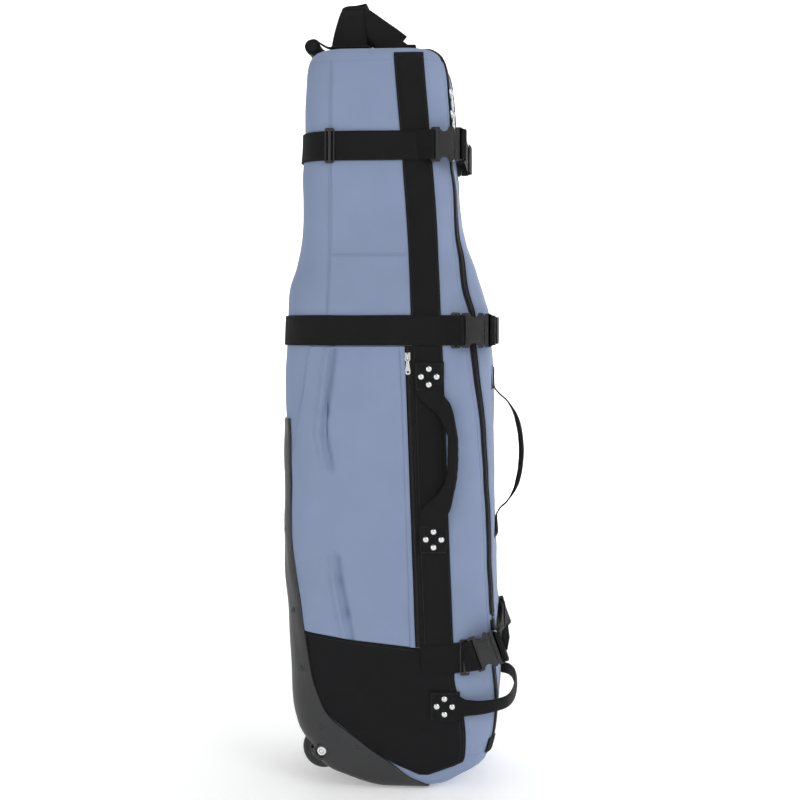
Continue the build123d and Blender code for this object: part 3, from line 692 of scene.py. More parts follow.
# ---------------------------------------------------------------- fabric body
V = {name: float(v_at(z)) for name, z in dict(low=60, hinge=HINGE_Z, waist=929, ring=1272).items()}
BACK_Y = 102.0
FLAP_BACK, FLAP_R, FLAP_HALF = -66.0, 30.0, 78.0
GAP = SEAM_GAP


def side_slab(name, low_curve, high_curve, v0, v1, low, high, mat, body, sign, **more):
    """A slab on one side; its curves give the girth distance on the left side."""
    if sign > 0:
        return slab(name, low_curve, high_curve, v0, v1, low, high, mat, body, **more)
    return slab(name, lambda v: -high_curve(v), lambda v: -low_curve(v), v0, v1, low, high, mat, body,
                **more)


seam_out = lambda v: g_seam(v, GAP)
back_edge = lambda v: g_at_y(v, BACK_Y) - 0.3
back_start = lambda v: g_at_y(v, BACK_Y) + 0.3


def plan_edge(x, grow=0.0):
    """y of the zip where it crosses the top, at a distance x from the middle."""
    half, r = FLAP_HALF + grow, FLAP_R
    over = np.clip(np.abs(x) - (half - r), 0, r)
    return FLAP_BACK + grow - r + np.sqrt(r * r - over * over)


def flap_top(share, grow=0.0, base=None):
    """Profile distance of the zip's top edge at a share of the way across the flap."""
    v = np.linspace(V["ring"] - 40, V_TOP - 2, 500)
    out = []
    for s in np.ravel(share):
        g = (2 * s - 1) * (g_seam(v) + grow)
        p = base_point(g, v)
        inside = p[:, 1] < plan_edge(p[:, 0], grow)
        out.append(v[inside].max() if inside.any() else v[0])
    return np.array(out).reshape(np.shape(share))


def top_start(share):
    """Profile distance where the top panel starts, round the whole girth."""
    v = np.linspace(V["ring"], V_TOP - 2, 500)
    out = []
    for s in np.ravel(share):
        p = base_point((2 * s - 1) * half_girth(v), v)
        inside = (np.abs(p[:, 0]) < FLAP_HALF + GAP) & (p[:, 1] < plan_edge(p[:, 0], GAP))
        out.append(v[inside].max() if inside.any() else v[0])
    return np.array(out).reshape(np.shape(share))


def ring_slab(name, v_low, v_high, low, high, mat, body, cap_at, pitch=9.0, columns=150, lining=None):
    """A slab all round the girth that closes over the top (cap_at "high") or the bottom ("low")."""
    s = np.arange(columns) / columns
    lo = v_low(s) if callable(v_low) else np.full(columns, v_low)
    hi = v_high(s) if callable(v_high) else np.full(columns, v_high)
    t = steps(float(np.median(hi - lo)), pitch, 1.2)
    T, S = np.meshgrid(t, s, indexing="ij")
    Vv = lo + (hi - lo) * T
    G = (2 * S - 1) * half_girth(Vv)
    k = np.array([0, 0.72,
                  1] + [1] * (len(t) - 3)) if cap_at == "high" else np.array([1] * (len(t) - 3) + [1, 0.72,
                          0])
    H = low + (high - low) * (0.88 + 0.12 * k[:, None] + 0 * S)
    top = point(G, Vv, H).reshape(-1, 3)
    under = point(G, Vv, low).reshape(-1, 3)
    rows, n = len(t), len(t) * columns
    idx = np.arange(n).reshape(rows, columns)
    nxt = np.roll(idx, -1, axis=1)
    quads = np.stack([idx[:-1], nxt[:-1], nxt[1:], idx[1:]], -1).reshape(-1, 4)
    rim, cap = (0, rows - 1) if cap_at == "high" else (rows - 1, 0)
    faces = [tuple(q) for q in quads] + [tuple(q[::-1] + n) for q in quads]
    faces += [(idx[rim, j], nxt[rim, j], nxt[rim, j] + n, idx[rim, j] + n) for j in range(columns)]
    faces += [tuple(idx[cap]), tuple(idx[cap] + n)]
    mats = [0] * len(quads) + [1 if lining else 0] * len(quads) + [0] * columns + [0, 1 if lining else 0]
    uv = np.stack([S * 1.0, Vv * MM], -1).reshape(-1, 2)
    obj = new_object(name, np.concatenate([top, under]), faces, mat, np.concatenate([uv, uv]), mats,
                     extra_mats=(lining,) if lining else ())
    fix_normals(obj)
    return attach(obj, body)


WALL = 4.0


def keep(obj, slot_name, *nodes):
    """Hides the CAD nodes that a finished piece stands for, and returns the piece. slot_name is not used."""
    if nodes:
        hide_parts(*nodes)
    return obj


def make_sides(name, sign):
    low = side_slab(f"fabric_side_{name}", seam_out, back_edge, V["low"], V["waist"] - 0.1, -WALL, 0, FABRIC,
                    "case",
                    sign, lining=LINING, pitch=5, rim=False, extra=lambda y, z: 1.1 * np.minimum(folds(y, z),
                            0.0))
    high = side_slab(f"fabric_shoulder_{name}", seam_out, back_edge, V["waist"] + 0.1, V["ring"] - 0.2,
                     -WALL, 0, FABRIC,
                     "case", sign, lining=LINING, rim=False)
    keep(low, "case_fabric", f"{name}_side_panel")
    keep(high, "case_fabric")
    return low, high


side_panels = [p for pair in both_sides(make_sides) for p in pair]
back_panel = keep(slab("fabric_back", back_start, round_about(back_start), V["low"], V["ring"] - 0.2, -WALL,
                       0, FABRIC,
                       "case", lining=LINING, pitch=9, rim=False), "case_fabric", "back_panel")
keep(slab("fabric_front_lower", neg(lambda v: g_seam(v, -GAP)), lambda v: g_seam(v, -GAP), V["low"],
                        V["hinge"] - 1.5, -WALL, 0, FABRIC, "case", lining=LINING, rim=False), "case_fabric",
                   "lower_front_panel")
bowl = keep(ring_slab("fabric_bottom", 0.5, V["low"] - 0.2, -WALL, 0, FABRIC, "case", "low", lining=LINING),
            "case_fabric", "bottom_tub")
keep(ring_slab("fabric_top", top_start, V_TOP - 0.5, -WALL, 0, FABRIC, "case", "high", lining=LINING),
               "case_fabric", "top_panel")
keep(slab("front_flap_fabric", neg(lambda v: g_seam(v, -GAP)), lambda v: g_seam(v, -GAP), V["hinge"] + 1.5,
                 lambda s: flap_top(s, -GAP), -WALL, 0, FABRIC, "flap", lining=LINING, pitch=8),
                 "case_fabric", "front_flap")
hinge_strip = slab("hinge_fold", neg(lambda v: g_seam(v, -9)), lambda v: g_seam(v, -9), V["hinge"] - 7,
                   V["hinge"] + 7,
                   0.1, 0.9, FABRIC, None, pitch=3, edge=0.8)
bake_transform(hinge_strip)
keep(hinge_strip, "case_fabric")

# ---------------------------------------------------------------- moulded shell and wheel wells
base_y = line_curve(BASE_EDGE)


def shell_edge(v, offset=0.0):
    z, half, front, back, rf, rb = section(v)
    y = base_y(z) + offset
    g = g_at_y(v, y)
    t = np.clip((front + y) / 6.0, 0, 1)
    return g * t * t * (3 - 2 * t)


def shell_relief(y, z):
    """Raised border and swage line of the moulding."""
    d = y - base_y(z)
    border = 1.3 * (1 - np.clip((d - 9) / 5, 0, 1)) * np.clip((z - 6) / 20, 0, 1)
    swage = -1.0 * bump(d - 17, 3.0) * np.clip((z - 40) / 60, 0, 1) * np.clip((600 - z) / 60, 0, 1)
    return border + swage


shell = slab("moulded_shell", shell_edge, lambda v: 2 * half_girth(v) - shell_edge(v), 3.0, float(v_at(640)),
             0.4, 3.6, SHELL, None, pitch=7, edge=1.8, extra=shell_relief)


def wheel_cut(side, r, x_half, name):
    bpy.ops.mesh.primitive_cylinder_add(vertices=72, radius=r * MM, depth=2 * x_half * MM,
                                        location=(side * WHEEL_X * MM, (WHEEL_Y + SHIFT_Y) * MM,
                                                  WHEEL_Z * MM),
                                        rotation=(0, math.pi / 2, 0))
    cutter = bpy.context.object
    cutter.name = name
    return cutter


for target in (shell, bowl, back_panel, side_panels[0], side_panels[2]):
    for side in (-1, 1):
        if target is side_panels[0] and side > 0 or target is side_panels[2] and side < 0:
            continue
        world = target.matrix_world.copy()
        subtract(target, wheel_cut(side, 42.4, 18.4, "well"))
        subtract(target, wheel_cut(side, 10.0, 60.0, "bolt_hole"))
    sharp_shade(target, 40)
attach(shell, "case")
keep(shell, "moulded_plastic", "moulded_base")
cups, bolts = [], []
for side in (-1, 1):
    frame = ((side * WHEEL_X, WHEEL_Y + SHIFT_Y, WHEEL_Z), (0, -side, 0), (0, 0, 1), (side, 0, 0))
    cups.append(plate("bolt_cup", circle(10.6, n=40), 18.7, 41.5, frame, SHELL, 0, [circle(9.0, n=40)]))
    cups.append(plate("bolt_ring", circle(13.5, n=40), 41.0, 46.4, frame, SHELL, 0.8, [circle(9.2, n=40)]))
    bolts.append(plate("bolt_washer", circle(8.4, n=40), 38.5, 40.6, frame, CHROME, 0.5,
                       [circle(3.9, n=28)]))
    bolts.append(plate("bolt_pin", circle(3.7, n=28), 36.5, 40.0, frame, CHROME, 0.5))
keep(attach(join("wheel_bolt_cups", cups), "case"), "moulded_plastic")
keep(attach(join("wheel_bolt_caps", bolts), "case"), "bright_metal")
skids = []
for x in (-36, 36):
    frame = ((x, SHIFT_Y, 0), (0, 1, 0), (0, 0, 1), (1, 0, 0))
    skids.append(plate("skid", [(-40, 0.4), (80, 0.4), (88, 3), (92, 9), (92, 26), (60, 22), (-40, 6)], -12,
                       12, frame, SHELL, 2.5))
keep(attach(join("base_skids", skids), "case"), "moulded_plastic")

dimples = []
for y, z in ((176, 560), (175, 445), (160, 305), (147, 205), (112, 105), (46, 72)):
    v = float(v_at(z))
    g = float(g_at_y(v, y))
    for sign in (1, -1):
        o = point(g * sign, v, 3.7) / MM
        n = normal_at(np.array(g * sign), np.array(v))
        up = np.array([0, 0, 1.0]) - n * n[2]
        up /= np.linalg.norm(up)
        frame = (o, np.cross(up, n), up, n)
        dimples.append(plate("stud", circle(5.2, n=28), -1.4, 0.9, frame, SHELL, 0.6, [circle(2.6, n=24)]))
        dimples.append(plate("stud_pin", circle(3.0, n=24), -1.4, 0.1, frame, SHELL, 0.3))
keep(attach(join("shell_studs", dimples), "case"), "moulded_plastic", "base_rivets")

# ---------------------------------------------------------------- boots, pockets, side webbing
POCKET_TOP = 767.0
boot_front = line_curve([(26, -74), (38, -105), (52, -136), (88, -139), (128, -136), (160, -128),
                         (196, -120), (246, -121)])
boot_back = line_curve([(26, -60), (33, -43), (46, -13), (72, 28), (99, 63), (127, 99), (153, 114),
                        (200, 129), (242, 136), (272, 140)])
pocket_back = line_curve([(273, 140), (321, 147), (364, 154), (451, 164), (560, 166), (640, 151), (700, 142),
                          (POCKET_TOP, 132)])


def boot_top(share, lift=0.0):
    """The boot's sloping top edge, at a share of the way back."""
    return v_at(np.interp(share, [0, 0.27, 0.7, 1], [246, 246, 258, 272]) + lift)


zip_y = lambda z: -57 + 18 * (z - 245) / 505
pocket_zip = line_curve([(200, -58.6), (770, -38.3)])


def pocket_relief(y, z):
    """The pocket's fullness and its long creases."""
    across = np.clip((y - zip_y(z)) / (150 - zip_y(z)), 0, 1)
    up = np.clip((z - 247) / (POCKET_TOP - 247), 0, 1)
    full = 3.6 * np.sin(math.pi * across) ** 0.7 * np.clip(np.sin(math.pi * up) * 1.6, 0, 1)
    ends = np.clip(np.minimum(z - 247, POCKET_TOP - z) / 8, 0, 1)
    return full + folds(y, z) * np.clip(across * 8, 0, 1) * (0.35 + 0.65 * ends)


def boot_relief(y, z):
    crease = 1.5 * (bump((y + 60) * 0.5 + (z - 175) * 0.86, 5) - bump((y + 60) * 0.5 + (z - 163) * 0.86, 5))
    near = np.clip(1 - np.hypot(y + 40, (z - 165) * 1.4) / 70, 0, 1)
    return crease * near + 0.5 * soft_noise(y * 1.3, z, 60.0)


def make_side_layers(name, sign):
    share = (lambda s: s) if sign > 0 else (lambda s: 1 - s)
    boot = side_slab(f"boot_{name}", g_side(boot_front), g_side(boot_back), float(v_at(26)),
                     lambda s: boot_top(share(s)),
                     0.3, 1.9, BOOT, "case", sign, extra=boot_relief, pitch=7)
    pocket = side_slab(f"pocket_{name}", g_side(pocket_zip, 5.2), g_side(pocket_back),
                       lambda s: boot_top(0.27 + 0.73 * share(s),
                                          1.0), float(v_at(POCKET_TOP)), 0.3, 2.2, FABRIC, "case", sign,
                       extra=pocket_relief, pitch=3.6, edge=1.6)
    strip = side_slab(f"side_webbing_{name}", g_side(webbing_y, -WEBBING_W / 2),
                      g_side(webbing_y, WEBBING_W / 2),
                      float(v_at(238)), float(v_at(1286)), 0.3, 2.3, WEB, "case", sign, pitch=8, edge=0.7)
    tape = side_slab(f"pocket_zip_tape_{name}", g_side(webbing_y, WEBBING_W / 2 - 1.5),
                     g_side(pocket_zip, 6.5), float(v_at(247)),
                     float(v_at(POCKET_TOP + 1)), 0.2, 2.0, TAPE, "case", sign, pitch=6, edge=0.6)
    fold = side_slab(f"pocket_zip_guard_{name}", g_side(pocket_zip, 4.6), g_side(pocket_zip, 13.5),
                     float(v_at(247)),
                     float(v_at(POCKET_TOP)), 2.0, 4.2, FABRIC, "case", sign, pitch=6, edge=1.0)
    path = [(sign * float(g_at_y(v, pocket_zip(z_of(v)))),
             float(v)) for v in np.linspace(float(v_at(248)), float(v_at(POCKET_TOP)), 50)]
    coil = repeat_shape(f"pocket_zip_coil_{name}", rows_on(path, 1.7, 2.0), *bar(0.95, 5.2, 1.0), COIL,
                        "case")
    keep(boot, "boot_fabric")
    keep(pocket, "case_fabric")
    keep(strip, "webbing")
    keep(tape, "zip_tape")
    keep(fold, "case_fabric")
    keep(coil, "zip_tape")
    rows = []
    for off in (6.6, 12.2):
        line = [(sign * float(g_at_y(v, pocket_zip(z_of(v)) + off)),
                 float(v)) for v in np.linspace(float(v_at(250)), float(v_at(POCKET_TOP - 2)), 50)]
        rows.append(stitches("s", line, 4.1, THREAD_BLUE, None))
    keep(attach(join(f"pocket_stitching_{name}", rows), "case"), "case_fabric")
    rows = []
    for off in (-WEBBING_W / 2 + 3, WEBBING_W / 2 - 3):
        line = [(sign * float(g_at_y(v, webbing_y(z_of(v)) + off)),
                 float(v)) for v in np.linspace(float(v_at(246)), float(v_at(1280)), 70)]
        rows.append(stitches("s", line, 2.25, THREAD_BLACK, None))
    for off in (4.0, 9.0):
        line = [(sign * float(g_at_y(v, boot_front(z_of(v)) + off)),
                 float(v)) for v in np.linspace(float(v_at(30)), float(v_at(236)), 40)]
        rows.append(stitches("s", line, 1.9, THREAD_BLACK, None, extra=0.25))
    line = []
    for t in np.linspace(0.27, 0.99, 30):
        v = float(boot_top(t, -5))
        line.append((sign * float(g_at_y(v, boot_front(z_of(v)) * (1 - t) + boot_back(z_of(v)) * t)), v))
    rows.append(stitches("s", line, 2.2, THREAD_BLACK, None))
    keep(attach(join(f"webbing_stitching_{name}", rows), "case"), "webbing")
    return boot, pocket, strip, tape


left_layers, _ = both_sides(make_side_layers)
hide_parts("boots")
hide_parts("side_pockets")
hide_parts("side_webbings")
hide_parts("pocket_zips")

# ---------------------------------------------------------------- seams of the blue fabric
seam_rows = []
for sign in (1, -1):
    lines = [
        ([(sign * float(g_at_y(v, BACK_Y - 3.5)), float(v)) for v in np.linspace(float(v_at(770)),
                V["ring"] - 2, 60)], 0.0),
        ([(sign * float(g_seam(v, 13.5)), float(v)) for v in np.linspace(V["low"] + 8, V["ring"] - 2, 90)],
         0.0),
    ]
    y_line = np.linspace(float(webbing_y(925)) + 30, BACK_Y - 4, 30)
    lines.append(([(sign * float(g_at_y(V["waist"] - 4, y)), V["waist"] - 4) for y in y_line], 0.0))
    for path, h in lines:
        seam_rows.append(stitches("s", path, h + 0.05, THREAD_BLUE, None))
keep(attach(join("seam_stitching", seam_rows), "case"), "case_fabric")


def piping(name, path, r, mat, body, h=0.3):
    path = np.asarray(path, float)
    pos, tan, side, nor = rows_on(path, 5.0, h)
    return sweep(name, pos, side, r, r, mat, ROUND_PROFILE[::2], body)


for sign, name in ((1, "left"), (-1, "right")):
    path = [(sign * float(g_at_y(v, BACK_Y)), float(v)) for v in np.linspace(float(v_at(650)), V["ring"] - 1,
            80)]
    keep(piping(f"back_seam_{name}", path, 1.0, FABRIC, "case"), "case_fabric")
    path = [(sign * float(g_at_y(V["waist"], y)),
             V["waist"]) for y in np.linspace(float(webbing_y(929)) + 24, BACK_Y, 30)]
    keep(piping(f"waist_seam_{name}", path, 0.8, FABRIC, "case"), "case_fabric")

# ---------------------------------------------------------------- main zip
def seam_path(sign, z0, z1, count):
    return [(sign * float(g_seam(v)), float(v)) for v in np.linspace(float(v_at(z0)), z1, count)]


v_side_top = float(flap_top(0.0))
over_top = []
for s in np.linspace(0, 1, 90):
    v = float(flap_top(s))
    over_top.append(((1 - 2 * s) * float(g_seam(v)), v))
upper_path = seam_path(1, HINGE_Z + 1, v_side_top, 130) + over_top[1:-1] + seam_path(-1, HINGE_Z + 1,
        v_side_top, 130)[::-1]
lower_paths = [seam_path(1, 56, V["hinge"] - 2, 30), [(-g, v) for g,
                                                      v in seam_path(1, 56, V["hinge"] - 2, 30)][::-1]]


def zip_half(name, path, towards_flap, body):
    """Tape and coil of one side of the zip; the middle of the flap is on the path's +side."""
    pos, tan, side, nor = rows_on(path, 6.0, 0.9)
    turn = 1 if towards_flap else -1
    tape = sweep(name + "_tape", pos + turn * side * (GAP + 3.0), side, 3.1, 0.65, TAPE, body=body)
    pos, tan, side, nor = rows_on(path, 1.9, 1.25)
    if towards_flap:
        pos = pos + tan * 0.95
    shape, faces = bar(1.0, 3.3, 1.1)
    shape = [(a, b + turn * 1.15, c) for a, b, c in shape]
    coil = repeat_shape(name + "_coil", (pos, tan, side, nor), shape, faces, COIL, body)
    return keep(tape, "zip_tape"), keep(coil, "zip_tape")


flap_zip = zip_half("zip_flap", upper_path, True, "flap")
case_zip = zip_half("zip_case", upper_path, False, "case")
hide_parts("zip_tape_flap")
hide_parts("zip_tape_case")
for n, path in (("left", lower_paths[0]), ("right", lower_paths[1])):
    zip_half(f"zip_low_in_{n}", path, True, "case")
    zip_half(f"zip_low_out_{n}", path, False, "case")


def make_end_tab(name, sign):
    tab = side_slab(f"zip_end_tab_{name}", lambda v: g_seam(v, -15), lambda v: g_seam(v, 19),
                    float(v_at(57)), float(v_at(84)),
                    1.6, 3.6, BOOT, "case", sign, pitch=4, edge=1.0)
    return keep(tab, "zip_tape")


tabs = both_sides(make_end_tab)
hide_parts("zip_end_tabs")
pos, tan, side, nor = rows_on(upper_path, 4.4, 0.1)
edge_rows = repeat_shape("flap_edge_stitching", (pos + side * 11.0, tan, side, nor), *bar(3.2, 0.75, 0.45),
                         THREAD_BLUE, "flap")
keep(edge_rows, "case_fabric")


# ---------------------------------------------------------------- sliders and pulls
def cad_section(z):
    table = np.array(SECTIONS[3:19], float)
    return [float(np.interp(z, table[:, 0], table[:, k])) for k in range(1, 6)]


def cad_front_y(z, x, grow):
    half, front, _, r, _ = cad_section(z)
    half, front, r = half + grow, front + grow, r + grow
    over = abs(x) - (half - r)
    return -front if over <= 0 else -(front - r) - math.sqrt(max(r * r - over * over, 0))


def slider_frame(x, z, rise):
    p = np.array([x, cad_front_y(z, x, rise), z])
    q = np.array([x, cad_front_y(z - 60, x, rise), z - 60])
    half, _, _, r, _ = cad_section(z)
    tilt = math.asin((abs(x) - (half - r)) / r)
    up = (p - q) / np.linalg.norm(p - q)
    across = np.cross(up, (-math.sin(tilt), -math.cos(tilt), 0))
    across /= np.linalg.norm(across)
    return p + np.array([0, SHIFT_Y, 0]), across, up, np.cross(across, up)


def slider_parts(name, frame, long_pull):
    """Slider with a bridge, and a pull that hangs from it."""
    body = [plate("b", [(-3.2, -7.5), (3.2, -7.5), (4.9, 2), (4.6, 7.5), (1.6, 6.4), (-1.6, 6.4),
                        (-4.6, 7.5), (-4.9, 2)], 0.5,
                  2.7, frame, CHROME, 0.6)]
    o, ax, ay, az = (np.asarray(a, float) for a in frame)
    arch = smooth_path([(-6.2, 2.4), (-5.4, 5.6), (-3, 6.8), (2.5, 6.8), (4.8, 5.4), (5.4, 2.4)], 18)
    body.append(sweep("b", [o + ay * a + az * b for a, b in arch], ax, 1.3, 0.75, CHROME,
                      ROUND_PROFILE[::2]))
    slider = join(name + "_slider", body)
    eye = plate("p", circle(5.0, 0, -4.2, 26), 3.5, 5.0, frame, CHROME, 0.5, [circle(3.0, 0, -4.2, 22)])
    if long_pull:
        outline = [(-2.0, -7.5), (2.0, -7.5), (4.6, -24), (4.4, -29), (2.2, -31.5), (-2.2, -31.5),
                   (-4.4, -29), (-4.6, -24)]
        blade = plate("p", outline, 3.3, 5.2, frame, CHROME, 0.7, [circle(1.9, 0, -26.8, 20)])
        ridge = plate("p", [(-1.0, -10), (1.0, -10), (1.9, -22), (-1.9, -22)], 5.0, 5.7, frame, CHROME, 0.3)
        parts = [eye, blade, ridge]
    else:
        neck = plate("p", [(-1.7, -7.8), (1.7, -7.8), (1.9, -12), (-1.9, -12)], 3.5, 5.0, frame, CHROME, 0.5)
        loop = plate("p", rounded(9.4, 19, 4.2, 0, -20.5), 3.3, 5.2, frame, CHROME, 0.7,
                     [rounded(5.0, 13.4, 2.4, 0, -21)])
        parts = [eye, neck, loop]
    return slider, join(name + "_pull", parts)


STRAIGHT_LOW, STRAIGHT_HIGH = (1025.0, 88.0), (1225.0, 78.0)


def seam_straight_x(z):
    """x of the seam on its straight upper stretch."""
    (z0, x0), (z1, x1) = STRAIGHT_LOW, STRAIGHT_HIGH
    return x0 + (x1 - x0) * (z - z0) / (z1 - z0)


for key, z in (("lower", 1179.0), ("upper", 1217.0)):
    slider, pull = slider_parts(f"main_{key}", slider_frame(-seam_straight_x(z) + 0.5, z, 1.8), False)
    keep(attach(slider, f"{key}_zip_slider"), "bright_metal", f"main_slider_{key}")
    keep(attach(pull, f"{key}_zip_pull"), "bright_metal", f"main_pull_{key}")
for side, key in ((-1, "left"), (1, "right")):
    y = float(zip_y(750.0))
    run = np.array([0, 18, 505.0]) / math.hypot(18, 505)
    normal = np.array([side, 0, 0.0])
    frame = (np.array([side * (165 + 1.6), y + SHIFT_Y, 750.0]), np.cross(run, normal), run, normal)
    slider, pull = slider_parts(f"pocket_{key}", frame, True)
    keep(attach(slider, f"pocket_slider_{key}"), "bright_metal", f"pocket_slider_{key}")
    keep(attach(pull, f"pocket_pull_{key}"), "bright_metal", f"pocket_pull_{key}")

# ---------------------------------------------------------------- girth straps and buckles
BUCKLES = {"top": (1120.0, -78.0, -119.0, -137.0, 134.7), "mid": (795.0, -132.0, -172.0, -188.0, 172.5),
           "bottom": (237.0, -152.0, -190.0, -206.0, 172.5)}
BUCKLE_TILT = {"top": 0.0, "mid": 0.0, "bottom": math.radians(20.0)}


def tilted(name, x, forward, up=0.0):
    """A point near a buckle: forward of its back edge and up across it, turned by its tilt."""
    z, back, _, _, _ = BUCKLES[name]
    c, t = math.cos(BUCKLE_TILT[name]), math.sin(BUCKLE_TILT[name])
    return (x, back - forward * c + up * t, z + forward * t + up * c)


def buckle(name, side):
    """Female half, and male half with its prongs, in a frame that runs forward, up and outward."""
    z, back, mouth, end, x_mid = BUCKLES[name]
    c, t = math.cos(BUCKLE_TILT[name]), math.sin(BUCKLE_TILT[name])
    frame = ((side * x_mid, back + SHIFT_Y, z), (0, -c, t), (0, t, c), (side, 0, 0))
    length, tip = back - mouth, back - end
    notch = [(length - 18 + 7.5 * math.cos(a), 30 - 8.0 * math.sin(a)) for a in np.linspace(0, math.pi, 14)]
    top = [(0, 28.5), (2, 30)] + notch[::-1] + [(length - 3, 30), (length, 27)]
    shape = top[::-1] + [(x, -y) for x, y in top]
    mouth_cut = [(length - 29, -23), (length + 2, -23), (length + 2, 23), (length - 29, 23)]
    body = plate("f", shape, -6.5, 6.5, frame, BUCKLE, 0)
    slot = plate("c", rounded(3.4, 53, 1.2, 6, 0), -20, 20, frame, BUCKLE, 0)
    subtract(body, slot)
    bevel(body, 2.6, 4)
    cavity = plate("c", mouth_cut, -3.4, 3.4, frame, BUCKLE, 0)
    subtract(body, cavity)
    window = plate("c", [(length - 25, -40), (length - 11, -40), (length - 11, 40), (length - 25, 40)], -3.0,
                   3.0, frame, BUCKLE, 0)
    subtract(body, window)
    sharp_shade(body, 30)
    lip = plate("f", rounded(2.6, 56, 1.2, 9.6, 0), 6.0, 7.3, frame, BUCKLE, 0.5)
    crown = plate("f", rounded(length - 13, 38, 5, length / 2 + 5, 0), 5.8, 7.2, frame, BUCKLE, 1.3)
    female = [body, lip, crown]
    g = length + 0.5
    half = [(g, 29), (tip - 7, 29), (tip - 2.5, 26.5), (tip, 20)]
    shape = half[::-1] + [(x, -y) for x, y in half]
    plug = plate("m", shape, -6.2, 6.2, frame, BUCKLE, 0)
    slot = plate("c", rounded(5.0, 53, 1.6, tip - 6, 0), -20, 20, frame, BUCKLE, 0)
    subtract(plug, slot)
    bevel(plug, 2.2, 4)
    sharp_shade(plug, 30)
    ridge = plate("m", rounded(2.4, 46, 1.1, g + 3.4, 0), 5.8, 6.9, frame, BUCKLE, 0.4)
    arm = [(g + 1, 8), (g + 1, 16), (length - 7, 22), (length - 12, 22.6), (length - 23, 22.6),
           (length - 26, 19),
           (length - 22, 15), (length - 8, 10)]
    arms = [plate("m", [(x, s * y) for x, y in arm], -2.6, 2.6, frame, BUCKLE, 0.8) for s in (1, -1)]
    guide = plate("m", [(g + 1, -2.5), (length - 16, -1.8), (length - 16, 1.8), (g + 1, 2.5)], -2.6, 2.6,
                  frame, BUCKLE, 0.6)
    return female, [plug, ridge, guide, *arms]


def strap_line(points, n=60):
    return [(x, y + SHIFT_Y, z) for x, y, z in smooth_path(points, n)]


females = []
for name, (z, back, mouth, end, x_mid) in BUCKLES.items():
    males = []
    for side in (-1, 1):
        f, m = buckle(name, side)
        females += f
        males += m
    keep(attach(join(f"{name}_buckle_male", males), f"{name}_strap"), "buckle_plastic",
         f"{name}_buckle_plugs")
    v0, v1 = float(v_at(z - 26)), float(v_at(z + 26))
    start = lambda v, y=back + 20.0: g_at_y(v, y)
    if name != "bottom":
        rear = slab(f"{name}_strap_rear_band", start, round_about(start), v0, v1, 2.5, 4.5, WEB, "case",
                    pitch=8, edge=0.7)
        keep(rear, "webbing", f"{name}_strap_rear")
    laps = []
    for side in (-1, 1):
        last = (-62, 225.0) if name == "bottom" else (back + 26, z)
        spots = [last, (-100, 228.0), (-128, 231.5)] if name == "bottom" else [last]
        on_side = [(side * (-point(float(g_at_y(float(v_at(h)), y)), float(v_at(h)), 4.0)[0] / MM), y,
                    h) for y, h in spots]
        line = on_side + [tilted(name, side * (x_mid + 5.6), -2.0), tilted(name, side * (x_mid + 7.6), 2.0),
                          tilted(name, side * (x_mid + 4.6), 6.0), tilted(name, side * (x_mid - 3.0), 6.2)]
        lean = np.clip((np.linspace(0, 1, 48) - 0.25) / 0.6, 0, 1)[:, None] * math.sin(BUCKLE_TILT[name])
        across = np.concatenate([0 * lean, lean, np.sqrt(1 - lean ** 2)], 1)
        laps.append(sweep("w", strap_line(line, 48), across, 26, 1.0, WEB))
    keep(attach(join(f"{name}_strap_rear_ends", laps), "case"), "webbing",
         *(["bottom_strap_rear"] if name == "bottom" else []))
    _, y_bar, z = tilted(name, 0.0, back - end - 6)
    lean = math.sin(BUCKLE_TILT[name])
    rows = []
    band = [(-x_mid - 1, y_bar, z), (-x_mid + 14, y_bar - 0.8, z), (-x_mid + 50, y_bar - 2, z),
            (0, y_bar - 2.6, z),
            (x_mid - 50, y_bar - 2, z), (x_mid - 14, y_bar - 0.8, z), (x_mid + 1, y_bar, z)]
    path = np.array(strap_line(band, 90))
    share = (lean * np.clip((np.abs(path[:, 0]) - x_mid + 80) / 60, 0, 1))[:, None]
    rows.append(sweep("w", path, np.concatenate([0 * share, share, np.sqrt(1 - share ** 2)], 1), 26, 1.0,
                      WEB))
    for side in (-1, 1):
        ext = [(side * (x_mid - 3), y_bar + 1.0, z), (side * (x_mid + 5.4), y_bar - 0.4, z),
               (side * (x_mid + 7.4), y_bar - 3.4, z + lean),
               (side * (x_mid + 5.2), y_bar - 7.2, z + 2.4 * lean), (side * (x_mid - 6), y_bar - 7.8,
                       z + 2.4 * lean),
               (side * (x_mid - 62), y_bar - 5.0, z)]
        path = np.array(strap_line(ext, 60))
        share = (lean * np.clip((np.abs(path[:, 0]) - x_mid + 60) / 50, 0, 1))[:, None]
        rows.append(sweep("w", path, np.concatenate([0 * share, share, np.sqrt(1 - share ** 2)], 1), 25.8,
                          0.9, WEB))
    band_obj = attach(join(f"{name}_strap_front_band", rows), f"{name}_strap")
    keep(band_obj, "webbing", f"{name}_strap_front")
    marks = []
    for side in (-1, 1):
        x0, x1 = side * (x_mid - 58), side * (x_mid - 30)
        y = y_bar + SHIFT_Y - 5.4
        marks.append(world_stitches("s", [(x0, y, z - 23), (x0, y, z + 23), (x1, y, z + 23), (x1, y, z - 23),
                                          (x0, y, z - 23),
                                          (x1, y, z + 23)], (0, -1, 0), THREAD_BLACK))
    keep(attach(join(f"{name}_strap_bartacks", marks), f"{name}_strap"), "webbing")
keep(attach(join("buckle_females", females), "case"), "buckle_plastic", "buckle_sockets")

